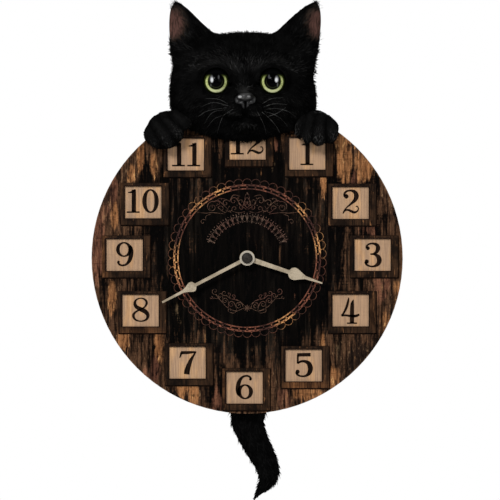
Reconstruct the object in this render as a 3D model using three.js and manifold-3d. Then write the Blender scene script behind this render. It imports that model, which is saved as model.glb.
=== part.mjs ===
// A wall clock with a black cat looking over its round dial. The cat's tail hangs below the dial and
// swings as the pendulum of a battery movement, which is bolted to the back of the dial board.
// Units are millimetres. +X is right seen from the front, the front faces -Y, and +Z is up.
// The origin is on the axis of the hands, in the plane of the wall that the movement's back rests on.
// Depths are Y values, so they fall from the wall (0) towards the viewer.
import * as THREE from "three";
import { mergeVertices } from "three/addons/utils/BufferGeometryUtils.js";
import Module from "manifold-3d";

const wasm = await Module();
wasm.setup();

// ---------------------------------------------------------------- driving dimensions
const GAP = 0.3; // running clearance, and the gap between pieces cut to fit each other
const PAST = 1; // how far a cutting tool runs past the face it opens

// Movement.
const CASE = { half: 36, top: 32, bottom: -76, depth: 22, wall: 2, corner: 3 };
const COVER = 1.5; // rear cover's thickness
const CASE_INSIDE = CASE.wall - CASE.depth; // inner face of the case's front wall
const BUSH = { inner: 2.95, outer: 4, front: -32.5 }; // threaded bush that holds the movement
const ARBOR = 1.5; // radius of the minute arbor
const PIPE = { inner: 1.85, outer: 2.6 }; // the hour wheel's pipe, which turns round the minute arbor
const PIVOT = 0.6; // radius of the wheels' pivots
const PIN = 1; // radius of the swing arm's pin
const PLATE = { rear: -9.25, front: -10.25 }; // train plate
const POSTS = [
  [30, 26],
  [30, -24],
  [-16, 27],
];
const CELL = { z: -37, y: -10.25, radius: 7, half: 24.5 };
const BAY = { half: 28.5, rise: 8 };
const KNOB = 7.25; // radius of the hole that the setting knob turns in
const COIL = { z: -62, radius: 8, inner: 3, height: 3 };
const SLOT = { half: 11, rear: -6, front: -14 }; // where the swing arm leaves the case

// Dial.
const GASKET = 1;
const DIAL = { radius: 142.5, back: -CASE.depth - GASKET, thickness: 6 };
DIAL.front = DIAL.back - DIAL.thickness;
const WASHER = 0.75;
const TILE = { width: 33.2, height: 29, thickness: 1 };
const FRAME = { width: 43.5, height: 38, thickness: 2.25, dx: 1.5, dz: -1.5, bevel: 1.75 };
// The numbers, from twelve on, stand in rows and columns that only roughly follow a circle.
const TILE_PLACES = [
  [0.3, 104.7],
  [55, 95.5],
  [94.7, 50.4],
  [114.8, 2.9],
  [94.7, -48],
  [51.7, -98.4],
  [-2.4, -118.7],
  [-54.7, -95.8],
  [-97.6, -48.1],
  [-112.3, 2.8],
  [-95.2, 51],
  [-56.2, 94.8],
];

// Hands, set to twenty to four. Each side is [distance from the axis, half width], from the tip in.
const HAND_THICKNESS = 0.75;
const HUB = 6.9;
const MINUTE_HAND = {
  y: -36.5,
  clockwise: 242.5,
  bore: ARBOR + GAP,
  side: [
    [87.5, 0.9],
    [66, 1.3],
    [62, 2.6],
    [58, 4.5],
    [55, 4.2],
    [53, 1.4],
    [6.7, 1.6],
  ],
};
const HOUR_HAND = {
  y: -33.75,
  clockwise: 108.5,
  bore: PIPE.outer + GAP,
  side: [
    [72.5, 0.6],
    [56, 1.5],
    [52, 3.2],
    [46.5, 5.5],
    [42.5, 5],
    [40, 1.7],
    [6.4, 2.3],
  ],
};

// Cat. The head's edge runs from the tip of the left ear down round the chin, as [x, z] from HEAD.x.
const HEAD = { x: -2.5, thickness: 15 };
const FACE = { y: DIAL.front, z: 153, size: [65, 28, 46] };
const MUZZLE = { y: -39, z: 134, size: [25, 24, 20] };
const HEAD_EDGE = [
  [-62, 234.5],
  [-68, 229],
  [-69, 205],
  [-65, 178],
  [-68, 150],
  [-64, 130],
  [-48, 117],
  [-22, 109],
  [0, 106.5],
  [22, 109],
  [48, 117],
  [64, 130],
  [65, 150],
  [64, 178],
  [69, 205],
  [69, 229],
  [63, 234.5],
  [47, 224],
  [30, 207.5],
  [18, 205],
  [0, 206.5],
  [-18, 205],
  [-30, 207.5],
  [-47, 224],
];
const EYE = { radius: 13, x: 25.6, y: -46.5, z: 162, back: -40 };
const PAWS = { left: { x: -74, z: 118 }, right: { x: 65, z: 119.5 } };

// Tail. Its middle line runs from the root behind the dial to the tip, as [x, z, half width]. The root
// leans to the left, so that the tail's weight hangs straight below its pivot.
const TAIL = { back: -8, front: -19 };
const TAIL_LINE = [
  [-14, -97, 14],
  [-12.5, -112, 18],
  [-6.5, -127, 18],
  [0, -139, 16.3],
  [0.7, -150, 14.8],
  [3, -162, 13.3],
  [8.5, -171, 12],
  [13.5, -181, 11.3],
  [17.5, -191, 10.7],
  [19.3, -200, 8.6],
  [16.8, -208, 6],
  [11.7, -214.5, 3.4],
  [5.3, -221.6, 0.8],
];
const SWING = -50; // height of the tail's pivot
const HOOK = -84; // height of the hook that the tail's strip hangs on
const STRIP = { half: 4.5, thickness: 1, top: -80, bottom: -132, recess: 1.75 };
const STUDS = [-116, -127]; // heights of the moulded studs that hold the strip in the tail's back

// ---------------------------------------------------------------- shaping helpers
const degrees = (value) => (value * Math.PI) / 180;

/** The place at a distance and a clockwise angle from the top, as [x, z]. */
function polar(distance, clockwise, [x, z] = [0, 0]) {
  const angle = degrees(clockwise);
  return [x + distance * Math.sin(angle), z + distance * Math.cos(angle)];
}

/** A closed geometry as a solid that can be joined and cut. */
function solid(geometry) {
  const bare = geometry.clone();
  bare.deleteAttribute("normal");
  bare.deleteAttribute("uv");
  const merged = mergeVertices(bare, 1e-4);
  return new wasm.Manifold(
    new wasm.Mesh({
      numProp: 3,
      vertProperties: new Float32Array(merged.attributes.position.array),
      triVerts: new Uint32Array(merged.index.array),
    }),
  );
}

/** A solid, whose corners hold nothing but their positions, as a three.js geometry. */
function geometryOf(made) {
  const { vertProperties, triVerts } = made.getMesh();
  const geometry = new THREE.BufferGeometry();
  geometry.setAttribute("position", new THREE.BufferAttribute(vertProperties, 3));
  geometry.setIndex(new THREE.BufferAttribute(triVerts, 1));
  geometry.computeVertexNormals();
  return geometry;
}

const join = (...solids) => solids.reduce((whole, next) => whole.add(next));
const cut = (body, ...tools) => tools.reduce((left, tool) => left.subtract(tool), body);

/** A flat shape, drawn in X and Z, as a plate between two depths. */
function plate(shape, rear, front, curveSegments = 2) {
  const options = { depth: rear - front, bevelEnabled: false, curveSegments };
  const geometry = new THREE.ExtrudeGeometry(shape, options);
  return solid(geometry.rotateX(Math.PI / 2).translate(0, rear, 0));
}

/** A cylinder along Y between two depths. */
function rod(radius, rear, front, [x, z] = [0, 0], sides = 16) {
  const geometry = new THREE.CylinderGeometry(radius, radius, rear - front, sides);
  return solid(geometry.translate(x, (rear + front) / 2, z));
}

function washer(outer, inner, rear, front, place = [0, 0]) {
  return cut(rod(outer, rear, front, place, 20), rod(inner, rear + PAST, front - PAST, place, 20));
}

/** A block that is told its two sides, two depths and two heights. */
function block([left, right], [rear, front], [low, high]) {
  const geometry = new THREE.BoxGeometry(right - left, rear - front, high - low);
  return solid(geometry.translate((left + right) / 2, (rear + front) / 2, (low + high) / 2));
}

function ellipsoid([x, y, z], [rx, ry, rz], sides = 20) {
  const geometry = new THREE.SphereGeometry(1, sides, Math.round(sides * 0.6));
  return solid(geometry.scale(rx, ry, rz).translate(x, y, z));
}

const straight = (points) => new THREE.Shape(points.map((p) => new THREE.Vector2(...p)));

function rectangle(width, height, x = 0, z = 0) {
  const [right, top] = [width / 2, height / 2];
  return straight([
    [x - right, z - top],
    [x + right, z - top],
    [x + right, z + top],
    [x - right, z + top],
  ]);
}

function rounded([left, right], [low, high], radius) {
  const shape = new THREE.Shape();
  shape.absarc(right - radius, low + radius, radius, -Math.PI / 2, 0);
  shape.absarc(right - radius, high - radius, radius, 0, Math.PI / 2);
  shape.absarc(left + radius, high - radius, radius, Math.PI / 2, Math.PI);
  shape.absarc(left + radius, low + radius, radius, Math.PI, 1.5 * Math.PI);
  return shape;
}

/** A smooth closed outline through a few points, given as [x, z]. */
function smooth(points, steps) {
  const knots = points.map(([x, z]) => new THREE.Vector3(x, z, 0));
  const curve = new THREE.CatmullRomCurve3(knots, true, "centripetal");
  return straight(curve.getPoints(steps).slice(0, -1).map(({ x, y }) => [x, y]));
}

// ---------------------------------------------------------------- the assembly
const materials = {
  board: new THREE.MeshStandardMaterial({ color: 0x2b1c14, roughness: 0.6 }),
  tile: new THREE.MeshStandardMaterial({ color: 0xa2866a, roughness: 0.6 }),
  fur: new THREE.MeshStandardMaterial({ color: 0x0b0b0b, roughness: 0.7 }),
  eye: new THREE.MeshStandardMaterial({ color: 0x8f9a58, roughness: 0.1 }),
  hand: new THREE.MeshStandardMaterial({ color: 0xc4bea6, roughness: 0.5, metalness: 0.3 }),
  cap: new THREE.MeshStandardMaterial({ color: 0x3a3836, roughness: 0.4, metalness: 0.5 }),
  brass: new THREE.MeshStandardMaterial({ color: 0xb08d4a, roughness: 0.3, metalness: 1 }),
  steel: new THREE.MeshStandardMaterial({ color: 0xa8aaac, roughness: 0.35, metalness: 1 }),
  copper: new THREE.MeshStandardMaterial({ color: 0xb0633a, roughness: 0.35, metalness: 0.8 }),
  casing: new THREE.MeshStandardMaterial({ color: 0x141415, roughness: 0.5 }),
  gear: new THREE.MeshStandardMaterial({ color: 0xe6e2d2, roughness: 0.5 }),
  rubber: new THREE.MeshStandardMaterial({ color: 0x111111, roughness: 0.9 }),
  circuit: new THREE.MeshStandardMaterial({ color: 0x1d5a35, roughness: 0.5 }),
  battery: new THREE.MeshStandardMaterial({ color: 0x3a6f8f, roughness: 0.35, metalness: 0.3 }),
};

const clock = new THREE.Group();

/** Adds a piece at [x, z], turned clockwise about Y and moved along it. */
function add(name, made, material, { at: [x, z] = [0, 0], y = 0, clockwise = 0 } = {}) {
  const mesh = new THREE.Mesh(geometryOf(made), materials[material]);
  mesh.name = name;
  mesh.position.set(x, y, z);
  mesh.rotation.y = degrees(clockwise);
  clock.add(mesh);
}

// ---------------------------------------------------------------- dial board and numbers
function dialBoard() {
  const disc = rod(DIAL.radius, DIAL.back, DIAL.front, [0, 0], 96);
  return cut(disc, rod(BUSH.outer + GAP, DIAL.back + PAST, DIAL.front - PAST, [0, 0], 20));
}

/** A four-sided funnel: a box at its rear, grown by `wider` all round at its front. */
function funnel(width, height, rear, front, wider) {
  const geometry = new THREE.BoxGeometry(width, rear - front, height).translate(0, (rear + front) / 2, 0);
  const corners = geometry.attributes.position;
  for (let i = 0; i < corners.count; i++) {
    if (corners.getY(i) > (rear + front) / 2) continue;
    corners.setX(i, corners.getX(i) + Math.sign(corners.getX(i)) * wider);
    corners.setZ(i, corners.getZ(i) + Math.sign(corners.getZ(i)) * wider);
  }
  return solid(geometry);
}

/** A moulding round a tile, with a bevelled window that sits up and to the left of its middle. */
function numberFrame() {
  const body = plate(rectangle(FRAME.width, FRAME.height, FRAME.dx, FRAME.dz), 0, -FRAME.thickness);
  const [width, height] = [TILE.width + 2 * GAP, TILE.height + 2 * GAP];
  const front = -FRAME.thickness - PAST;
  const window = plate(rectangle(width, height), PAST, front);
  const bevel = funnel(width, height, front + FRAME.bevel, front, FRAME.bevel);
  return cut(body, window, bevel);
}

add("dial_board", dialBoard(), "board");
TILE_PLACES.forEach((at, i) => {
  const hour = String(i === 0 ? 12 : i).padStart(2, "0");
  const place = { at, y: DIAL.front };
  add(`number_tile_${hour}`, plate(rectangle(TILE.width, TILE.height), 0, -TILE.thickness), "tile", place);
  add(`number_frame_${hour}`, numberFrame(), "board", place);
});

// ---------------------------------------------------------------- the cat
// Where a casting laps over the dial its back stands on the dial's face. Beyond the rim it reaches the
// plane of the board's back.
const rim = rod(DIAL.radius + GAP, DIAL.back + 20, DIAL.front - GAP, [0, 0], 96);
const behind = block([-200, 200], [DIAL.back + 60, DIAL.back], [-100, 300]);

// Room for the number frames that the chin and the paws lap over.
const pockets = [11, 0, 1].map((hour) => {
  const [x, z] = [TILE_PLACES[hour][0] + FRAME.dx, TILE_PLACES[hour][1] + FRAME.dz];
  const [half, rise] = [FRAME.width / 2 + GAP, FRAME.height / 2 + GAP];
  const depths = [DIAL.front + PAST, DIAL.front - FRAME.thickness - GAP];
  return block([x - half, x + half], depths, [z - rise, z + rise]);
});

/** The head's outline, grown by a margin away from its middle, as a plate. */
function headPlate(margin, rear, front) {
  const middle = new THREE.Vector2(0, FACE.z);
  const edge = HEAD_EDGE.map((point) => {
    const out = new THREE.Vector2(...point).sub(middle);
    const { x, y } = out.setLength(out.length() + margin).add(middle);
    return [HEAD.x + x, y];
  });
  return plate(smooth(edge, 56), rear, front);
}

function catHead() {
  const slab = headPlate(0, DIAL.back, DIAL.back - HEAD.thickness);
  const face = ellipsoid([HEAD.x, FACE.y, FACE.z - 2.75], FACE.size);
  const muzzle = ellipsoid([HEAD.x, MUZZLE.y, MUZZLE.z], MUZZLE.size, 14);
  return cut(join(slab, face, muzzle), behind, rim, ...pockets, eyeDome(-1, GAP), eyeDome(1, GAP));
}

/** The front of an eyeball, which sits on the flat at the bottom of its socket. */
function eyeDome(side, margin = 0) {
  const radius = EYE.radius + margin;
  const ball = ellipsoid([HEAD.x + side * EYE.x, EYE.y, EYE.z], [radius, radius, radius], 14);
  return cut(ball, block([-200, 200], [0, EYE.back + margin], [0, 300]));
}

/** A paw hooked over the rim, with its wrist leaning towards the head. */
function paw({ x, z }) {
  const foot = ellipsoid([x, DIAL.front - 2, z], [21, 19, 18.5], 16);
  const wrist = ellipsoid([x - 3 * Math.sign(x), DIAL.front + 4, z + 3], [18.5, 14, 15.5], 12);
  const head = headPlate(0.8, DIAL.back + PAST, DIAL.front - 60);
  return cut(join(foot, wrist), behind, rim, head, ...pockets);
}

add("cat_head", catHead(), "fur");
add("eye_left", eyeDome(-1), "eye");
add("eye_right", eyeDome(1), "eye");
add("paw_left", paw(PAWS.left), "fur");
add("paw_right", paw(PAWS.right), "fur");

// ---------------------------------------------------------------- movement: where the arbors stand
const arborAt = (distance, bearing, from) => ({ distance, bearing, at: polar(distance, bearing, from) });
const REVERSE = arborAt(19.2, 235);
const THIRD = arborAt(17.85, 125);
const FIFTH = arborAt(12.6, 0);
const ROTOR = arborAt(12.6, 300, FIFTH.at);
const PENDULUM = [0, SWING];

// ---------------------------------------------------------------- movement: casing
function caseOutline(inset, radius) {
  const sides = [inset - CASE.half, CASE.half - inset];
  return rounded(sides, [CASE.bottom + inset, CASE.top - inset], radius);
}

function movementCase() {
  const shell = plate(caseOutline(0, CASE.corner), -COVER, -CASE.depth);
  const inside = plate(caseOutline(CASE.wall, 1.5), PAST, CASE_INSIDE);
  const sides = [1 - CASE.half, CASE.half - 1];
  const rooted = CASE_INSIDE - CASE.wall / 4;
  const fittings = [
    rod(BUSH.outer, CASE_INSIDE, BUSH.front),
    ...POSTS.map((at) => rod(2, PLATE.front, rooted, at, 12)),
    block(sides, [-10.5, rooted], [CELL.z - BAY.rise - 1.25, CELL.z - BAY.rise]),
    block(sides, [-10.5, rooted], [CELL.z + BAY.rise, CELL.z + BAY.rise + 1.25]),
  ];
  const blind = CASE_INSIDE - 1.2;
  const openings = [
    rod(BUSH.inner, PAST, BUSH.front - PAST),
    rod(PIVOT + GAP, 0, blind, REVERSE.at, 12),
    rod(PIVOT + GAP, 0, blind, THIRD.at, 12),
    rod(PIN + GAP, 0, blind, PENDULUM, 12),
    block(
      [-SLOT.half, SLOT.half],
      [SLOT.rear, SLOT.front],
      [CASE.bottom - PAST, CASE.bottom + CASE.wall + PAST],
    ),
  ];
  return cut(join(cut(shell, inside), ...fittings), ...openings);
}

function rearCover() {
  const body = plate(caseOutline(0, CASE.corner), 0, -COVER);
  const through = [PAST, -COVER - PAST];
  const bay = block([-BAY.half, BAY.half], through, [CELL.z - BAY.rise, CELL.z + BAY.rise]);
  const blind = [-0.5, -COVER - PAST];
  const bearings = [THIRD.at, FIFTH.at, ROTOR.at, [0, 0]].map((at) => rod(PIVOT + GAP, ...blind, at, 12));
  const pin = rod(PIN + GAP, ...blind, PENDULUM, 12);
  return cut(body, bay, rod(KNOB, ...through, REVERSE.at, 20), ...bearings, pin);
}

/** Stamped plate above the case with a keyhole for a nail, folded down onto the case's top. */
function wallHanger() {
  const [half, rise] = [16, 12];
  const shape = new THREE.Shape();
  shape.moveTo(-half, CASE.top);
  shape.lineTo(half, CASE.top);
  shape.lineTo(half, CASE.top + rise - 2);
  shape.absarc(0, CASE.top + rise, rise, 0, Math.PI);
  shape.lineTo(-half, CASE.top + rise - 2);
  const hole = { z: CASE.top + 9, wide: 4.5, narrow: 2, rise: 8 };
  const shoulder = Math.acos(hole.narrow / hole.wide);
  const keyhole = new THREE.Path();
  keyhole.absarc(0, hole.z, hole.wide, Math.PI - shoulder, 2 * Math.PI + shoulder);
  keyhole.absarc(0, hole.z + hole.rise, hole.narrow, 0, Math.PI);
  shape.holes.push(keyhole);
  const upright = plate(shape, -0.25, -1.5, 7);
  return join(upright, block([-half, half], [-0.5, -12], [CASE.top, CASE.top + 1.25]));
}

function bushNut() {
  const rear = DIAL.front - WASHER;
  return cut(rod(6.2, rear, rear - 2, [0, 0], 6), rod(BUSH.outer + GAP, rear + PAST, rear - 3, [0, 0], 20));
}

add("movement_case", movementCase(), "casing");
add("movement_rear_cover", rearCover(), "casing");
add("wall_hanger", wallHanger(), "steel");
add("rubber_gasket", washer(11, BUSH.outer + GAP, -CASE.depth, DIAL.back), "rubber");
add("dial_washer", washer(7, BUSH.outer + GAP, DIAL.front, DIAL.front - WASHER), "brass");
add("bush_nut", bushNut(), "brass");

// ---------------------------------------------------------------- movement: cell and electronics
function batteryCell() {
  const lying = (radius, half, sides, x = 0) => {
    const upright = new THREE.CylinderGeometry(radius, radius, 2 * half, sides);
    return solid(upright.rotateZ(Math.PI / 2).translate(x, CELL.y, CELL.z));
  };
  return join(lying(CELL.radius, CELL.half, 20), lying(2.75, 1, 12, CELL.half));
}

/** A leaf of spring steel with a foot, which stands in the bay at one end of the cell. */
function contact(near) {
  const heights = [CELL.z - 5, CELL.z + 5];
  const leaf = block([near, near + 0.5], [CELL.y + 6, CASE_INSIDE], heights);
  return join(leaf, block([near, near + 5], [CASE_INSIDE + 0.5, CASE_INSIDE], heights));
}

/** The board, with its potted chip, crystal and capacitor on the rear face. */
function circuitBoard() {
  const board = block([-33.5, -20], [-13, -14], [5.5, 29.5]);
  const chip = rod(3.5, -12.5, -13.5, [-27, 21], 12);
  const crystal = block([-31, -29], [-11.25, -13.5], [7, 14]);
  const capacitor = rod(2, -10.5, -13.5, [-24, 10], 10);
  return join(board, chip, crystal, capacitor);
}

/** Soft-iron loop: the rotor turns in the hole at its right, and the coil sits on its left limb. */
function motorStator() {
  const [x, z] = ROTOR.at;
  const edge = straight([
    [-29, 6],
    [x + 2, 11],
    [x + 6, z - 4],
    [x + 6, z + 5],
    [x - 2, z + 7.5],
    [-29, 29.5],
  ]);
  const loop = straight([
    [-25, 9.25],
    [x - 4, 12.5],
    [x - 3, z - 5.5],
    [x - 5.5, z - 3],
    [x - 5.5, z + 3],
    [-25, 26.5],
  ]);
  return cut(plate(edge, -5, -6.5), plate(loop, -4, -7.5), rod(3.75, -4, -7.5, ROTOR.at));
}

/** A bobbin full of wire on the stator's left limb. */
function motorCoil() {
  const winding = block([-30.25, -23.75], [-2.5, -9], [11.5, 24]);
  const cheeks = [10.5, 24].map((low) => block([-32, -23], [-2, -9.75], [low, low + 1]));
  const limb = block([-29.3, -24.7], [-4.7, -6.8], [0, 40]);
  return cut(join(winding, ...cheeks), limb);
}

function driveCoil() {
  return washer(COIL.radius, COIL.inner, CASE_INSIDE + COIL.height, CASE_INSIDE, [0, COIL.z]);
}

function trainPlate() {
  const bare = plate(rounded([-19, 33], [-27, 29], 3), PLATE.rear, PLATE.front);
  const bearings = [
    [ARBOR + GAP, [0, 0]],
    [3.4, THIRD.at],
    [PIVOT + GAP, FIFTH.at],
    [PIVOT + GAP, ROTOR.at],
    [1 + 2 * GAP, REVERSE.at],
  ];
  return cut(bare, ...bearings.map(([radius, at]) => rod(radius, 0, -20, at)));
}

add("battery_cell", batteryCell(), "battery");
add("contact_positive", contact(CELL.half + 1.5), "steel");
add("contact_negative", contact(CELL.half + 0.5).mirror([1, 0, 0]), "steel");
add("circuit_board", circuitBoard(), "circuit");
add("motor_stator", motorStator(), "steel");
add("motor_coil", motorCoil(), "copper");
add("swing_drive_coil", driveCoil(), "copper");
add("train_plate", trainPlate(), "gear");

// ---------------------------------------------------------------- movement: wheels
// A pinion and the wheel it meshes with share a module, which follows from their arbors' distance.
function pair(pinionTeeth, wheelTeeth, { distance }) {
  const module = (2 * distance) / (pinionTeeth + wheelTeeth);
  return [pinionTeeth, wheelTeeth].map((teeth) => ({ teeth, module }));
}
const [CANNON_PINION, REVERSE_WHEEL] = pair(8, 24, REVERSE);
const [REVERSE_PINION, HOUR_WHEEL] = pair(8, 32, REVERSE);
const [THIRD_PINION, CENTRE_WHEEL] = pair(6, 45, THIRD);
const [SECOND_PINION, THIRD_WHEEL] = pair(6, 48, THIRD);
const [FIFTH_PINION, SECOND_WHEEL] = pair(6, 30, FIFTH);
const [ROTOR_PINION, FIFTH_WHEEL] = pair(6, 36, ROTOR);
const SETTING_KNOB = { teeth: 12, module: 1 };

/** A toothed disc with flat flanks, its first tooth at `phase` degrees clockwise from the top. */
function gear({ teeth, module }, rear, front, phase = 0) {
  const radius = (module * teeth) / 2;
  const [tip, root] = [radius + 0.75 * module, radius - 1.15 * module];
  const halfTip = 0.055;
  const pitch = 360 / teeth;
  const points = [];
  for (let i = 0; i < teeth; i++) {
    points.push(polar(root, phase + (i - 0.5) * pitch));
    points.push(polar(tip, phase + (i - halfTip) * pitch));
    points.push(polar(tip, phase + (i + halfTip) * pitch));
  }
  return plate(straight(points), rear, front);
}

// One wheel of a pair has a tooth on the line between the two arbors, and the other has a gap there.
const facing = ({ bearing }) => bearing;
const facedBy = ({ bearing }, { teeth }) => bearing + 180 + 180 / teeth;

/** The cannon pinion and the arbor that carries the minute hand, in one piece. */
function minuteArbor() {
  const pinion = gear(CANNON_PINION, -13, -15.75, facing(REVERSE));
  const arbor = join(rod(ARBOR, -9.5, -39), rod(2.2, -12.5, -16), pinion);
  return cut(arbor, rod(PIVOT + GAP, -9, -11.25, [0, 0], 12));
}

/** The hour wheel and the pipe that carries the hour hand. */
function hourWheel() {
  const wheel = gear(HOUR_WHEEL, -16.5, -17.5, facing(REVERSE) + 180 / HOUR_WHEEL.teeth);
  return cut(join(wheel, rod(PIPE.outer, -16.5, -35.25)), rod(PIPE.inner, -15, -37));
}

/** The wheel and pinion between the cannon pinion and the hour wheel, with the setting knob behind. */
function reverseWheel() {
  const wheel = gear(REVERSE_WHEEL, -14, -15, facedBy(REVERSE, REVERSE_WHEEL));
  const pinion = gear(REVERSE_PINION, -14.5, -18.25, facing(REVERSE) + 180);
  const knob = cut(gear(SETTING_KNOB, -0.5, -3), block([-0.5, 0.5], [1, -1.25], [-4, 4]));
  return join(wheel, pinion, rod(1, -2, -19.5, [0, 0], 12), rod(PIVOT, -19, -20.9, [0, 0], 12), knob);
}

function centreWheel() {
  const wheel = join(gear(CENTRE_WHEEL, -11, -12, facing(THIRD)), rod(3, -10.75, -12.25));
  return cut(wheel, rod(ARBOR + GAP, -10, -13));
}

function thirdWheel() {
  const pinion = gear(THIRD_PINION, -7.5, -13, facedBy(THIRD, THIRD_PINION));
  const wheel = gear(THIRD_WHEEL, -7, -8, facedBy(THIRD, THIRD_WHEEL));
  return join(pinion, wheel, rod(PIVOT, -0.8, -20.9, [0, 0], 12));
}

function secondWheel() {
  const pinion = gear(SECOND_PINION, -5, -8.5, facing(THIRD));
  const wheel = gear(SECOND_WHEEL, -4.5, -5.25, facing(FIFTH));
  return join(pinion, wheel, rod(PIVOT, -0.8, -10.75, [0, 0], 12));
}

function fifthWheel() {
  const pinion = gear(FIFTH_PINION, -3.25, -6, facedBy(FIFTH, FIFTH_PINION));
  const wheel = gear(FIFTH_WHEEL, -2.75, -3.5, facing(ROTOR));
  return join(pinion, wheel, rod(PIVOT, -0.8, -10, [0, 0], 12));
}

/** The stepping motor's magnet, with its pinion behind. */
function motorRotor() {
  const pinion = gear(ROTOR_PINION, -2.5, -4.25, facedBy(ROTOR, ROTOR_PINION));
  return join(pinion, rod(3, -4, -7.5), rod(PIVOT, -0.8, -10, [0, 0], 12));
}

add("minute_arbor", minuteArbor(), "brass");
add("hour_wheel", hourWheel(), "gear");
add("reverse_wheel", reverseWheel(), "gear", REVERSE);
add("centre_wheel", centreWheel(), "gear");
add("third_wheel", thirdWheel(), "gear", THIRD);
add("second_wheel", secondWheel(), "gear");
add("fifth_wheel", fifthWheel(), "gear", FIFTH);
add("motor_rotor", motorRotor(), "steel", ROTOR);

// ---------------------------------------------------------------- hands
/** A spade hand that points up: a squared tip, a leaf drawn as a curve, a straight shank and a ring. */
function hand({ side, bore }) {
  const points = side.map(([distance, half]) => new THREE.Vector2(half, distance));
  const [tip, shank] = [points.shift(), points.pop()];
  const right = [tip, ...new THREE.SplineCurve(points).getPoints(12), shank];
  const mirrored = [...right].reverse().map(({ x, y }) => new THREE.Vector2(-x, y));
  const start = Math.acos(shank.x / HUB);
  const shape = new THREE.Shape(right);
  shape.absarc(0, 0, HUB, start, Math.PI - start, true);
  mirrored.forEach(({ x, y }) => shape.lineTo(x, y));
  shape.holes.push(new THREE.Path().absarc(0, 0, bore, 0, 2 * Math.PI));
  return plate(shape, 0, -HAND_THICKNESS, 8);
}

/** A domed nut that closes the front of the minute arbor, as [radius, depth] round its profile. */
function handNut() {
  const profile = [
    [0, -3.25],
    [2.5, -3],
    [4.25, -2.25],
    [5, -1],
    [5, 0],
    [ARBOR + GAP, 0],
    [ARBOR + GAP, -2.1],
    [0, -2.1],
  ];
  return solid(new THREE.LatheGeometry(profile.map((p) => new THREE.Vector2(...p)), 18));
}

add("minute_hand", hand(MINUTE_HAND), "hand", MINUTE_HAND);
add("hour_hand", hand(HOUR_HAND), "hand", HOUR_HAND);
add("hand_nut", handNut(), "cap", { y: MINUTE_HAND.y - HAND_THICKNESS });

// ---------------------------------------------------------------- tail and its swing
/** A round bar bent along the tail's middle line, flattened front to back, with studs in its recess. */
function tail() {
  const line = new THREE.CatmullRomCurve3(TAIL_LINE.map((p) => new THREE.Vector3(...p)));
  const bar = new THREE.CylinderGeometry(1, 1, 1, 14, 20);
  const middle = (TAIL.front + TAIL.back) / 2;
  const thick = (TAIL.back - TAIL.front) / 2;
  const point = bar.attributes.position;
  for (let i = 0; i < point.count; i++) {
    const along = 0.5 - point.getY(i);
    const { x, y: z, z: half } = line.getPoint(along);
    const way = line.getTangent(along).setZ(0).normalize();
    const across = point.getX(i) * half;
    const out = point.getZ(i) * Math.min(thick, half * 1.1);
    point.setXYZ(i, x - way.y * across, middle - out, z + way.x * across);
  }
  const floor = TAIL.back - STRIP.recess;
  const sides = [-STRIP.half - 0.5, STRIP.half + 0.5];
  const recess = block(sides, [0, floor], [STRIP.bottom - 3, STRIP.bottom + 42]);
  const studs = STUDS.map((z) => rod(1.5, TAIL.back - 0.25, floor - 2, [0, z], 10));
  return join(cut(solid(bar), recess), ...studs);
}

/** Flat steel strip that hangs on the swing arm's hook and is staked over the tail's studs. */
function tailStrip() {
  const rear = TAIL.back - 0.5;
  const strip = block([-STRIP.half, STRIP.half], [rear, rear - STRIP.thickness], [STRIP.bottom, STRIP.top]);
  const holes = STUDS.map((z) => rod(1.5 + GAP, 0, -20, [0, z], 10));
  return cut(strip, rod(1.3 + GAP, 0, -20, [0, HOOK], 12), ...holes);
}

/** Arm that hangs from the pivot pin, carries the magnet and ends in a hook for the tail's strip. */
function swingArm() {
  const arm = block([-2.5, 2.5], [-10, -12], [HOOK - 5, SWING]);
  const boss = rod(3.25, -7, -13, PENDULUM);
  const hook = rod(1.3, -6.5, -10.5, [0, HOOK], 10);
  return cut(join(arm, boss, hook), rod(PIN + GAP, 0, -20, PENDULUM, 12));
}

add("tail", tail(), "fur");
add("tail_strip", tailStrip(), "steel");
add("swing_arm", swingArm(), "gear");
add("swing_magnet", rod(4, -12.25, -15.25, [0, COIL.z]), "steel");
add("swing_pin", rod(PIN, -0.9, -20.9, PENDULUM, 12), "steel");

export default clock;
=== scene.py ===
"""The looks of the cat tail clock: a black cat over a round dial of worn planks, with twelve framed
numbers, cream hands and a tail that swings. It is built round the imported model, in the same frame:
X is right seen from the front, the front faces -Y, and Z is up. Shapes here are written in
millimetres, with depths as distances in front of the wall, and become metres as they're made."""

import math

import bpy
import numpy as np
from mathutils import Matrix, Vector


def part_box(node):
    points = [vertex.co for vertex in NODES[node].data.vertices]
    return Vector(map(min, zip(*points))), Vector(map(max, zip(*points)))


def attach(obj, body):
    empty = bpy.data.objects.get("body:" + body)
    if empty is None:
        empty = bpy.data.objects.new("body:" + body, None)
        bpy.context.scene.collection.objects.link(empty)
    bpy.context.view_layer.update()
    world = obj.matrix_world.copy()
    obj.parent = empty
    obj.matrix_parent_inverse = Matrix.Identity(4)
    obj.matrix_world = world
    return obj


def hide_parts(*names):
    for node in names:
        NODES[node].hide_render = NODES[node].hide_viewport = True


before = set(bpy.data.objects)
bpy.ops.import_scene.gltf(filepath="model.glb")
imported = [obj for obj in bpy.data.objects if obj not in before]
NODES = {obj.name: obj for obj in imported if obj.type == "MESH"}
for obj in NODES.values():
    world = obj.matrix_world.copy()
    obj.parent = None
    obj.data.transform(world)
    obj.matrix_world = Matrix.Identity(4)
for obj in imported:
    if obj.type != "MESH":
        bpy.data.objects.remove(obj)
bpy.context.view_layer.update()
MM = 0.001
GAP = 0.3  # kept free between pieces cut to fit each other
chance = np.random.default_rng(11)


def cad(node):
    """A node's lowest and highest corner, in millimetres."""
    low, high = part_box(node)
    return np.array(low) / MM, np.array(high) / MM


DIAL_FRONT = -cad("dial_board")[0][1]
DIAL_RADIUS = cad("dial_board")[1][0]


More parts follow.
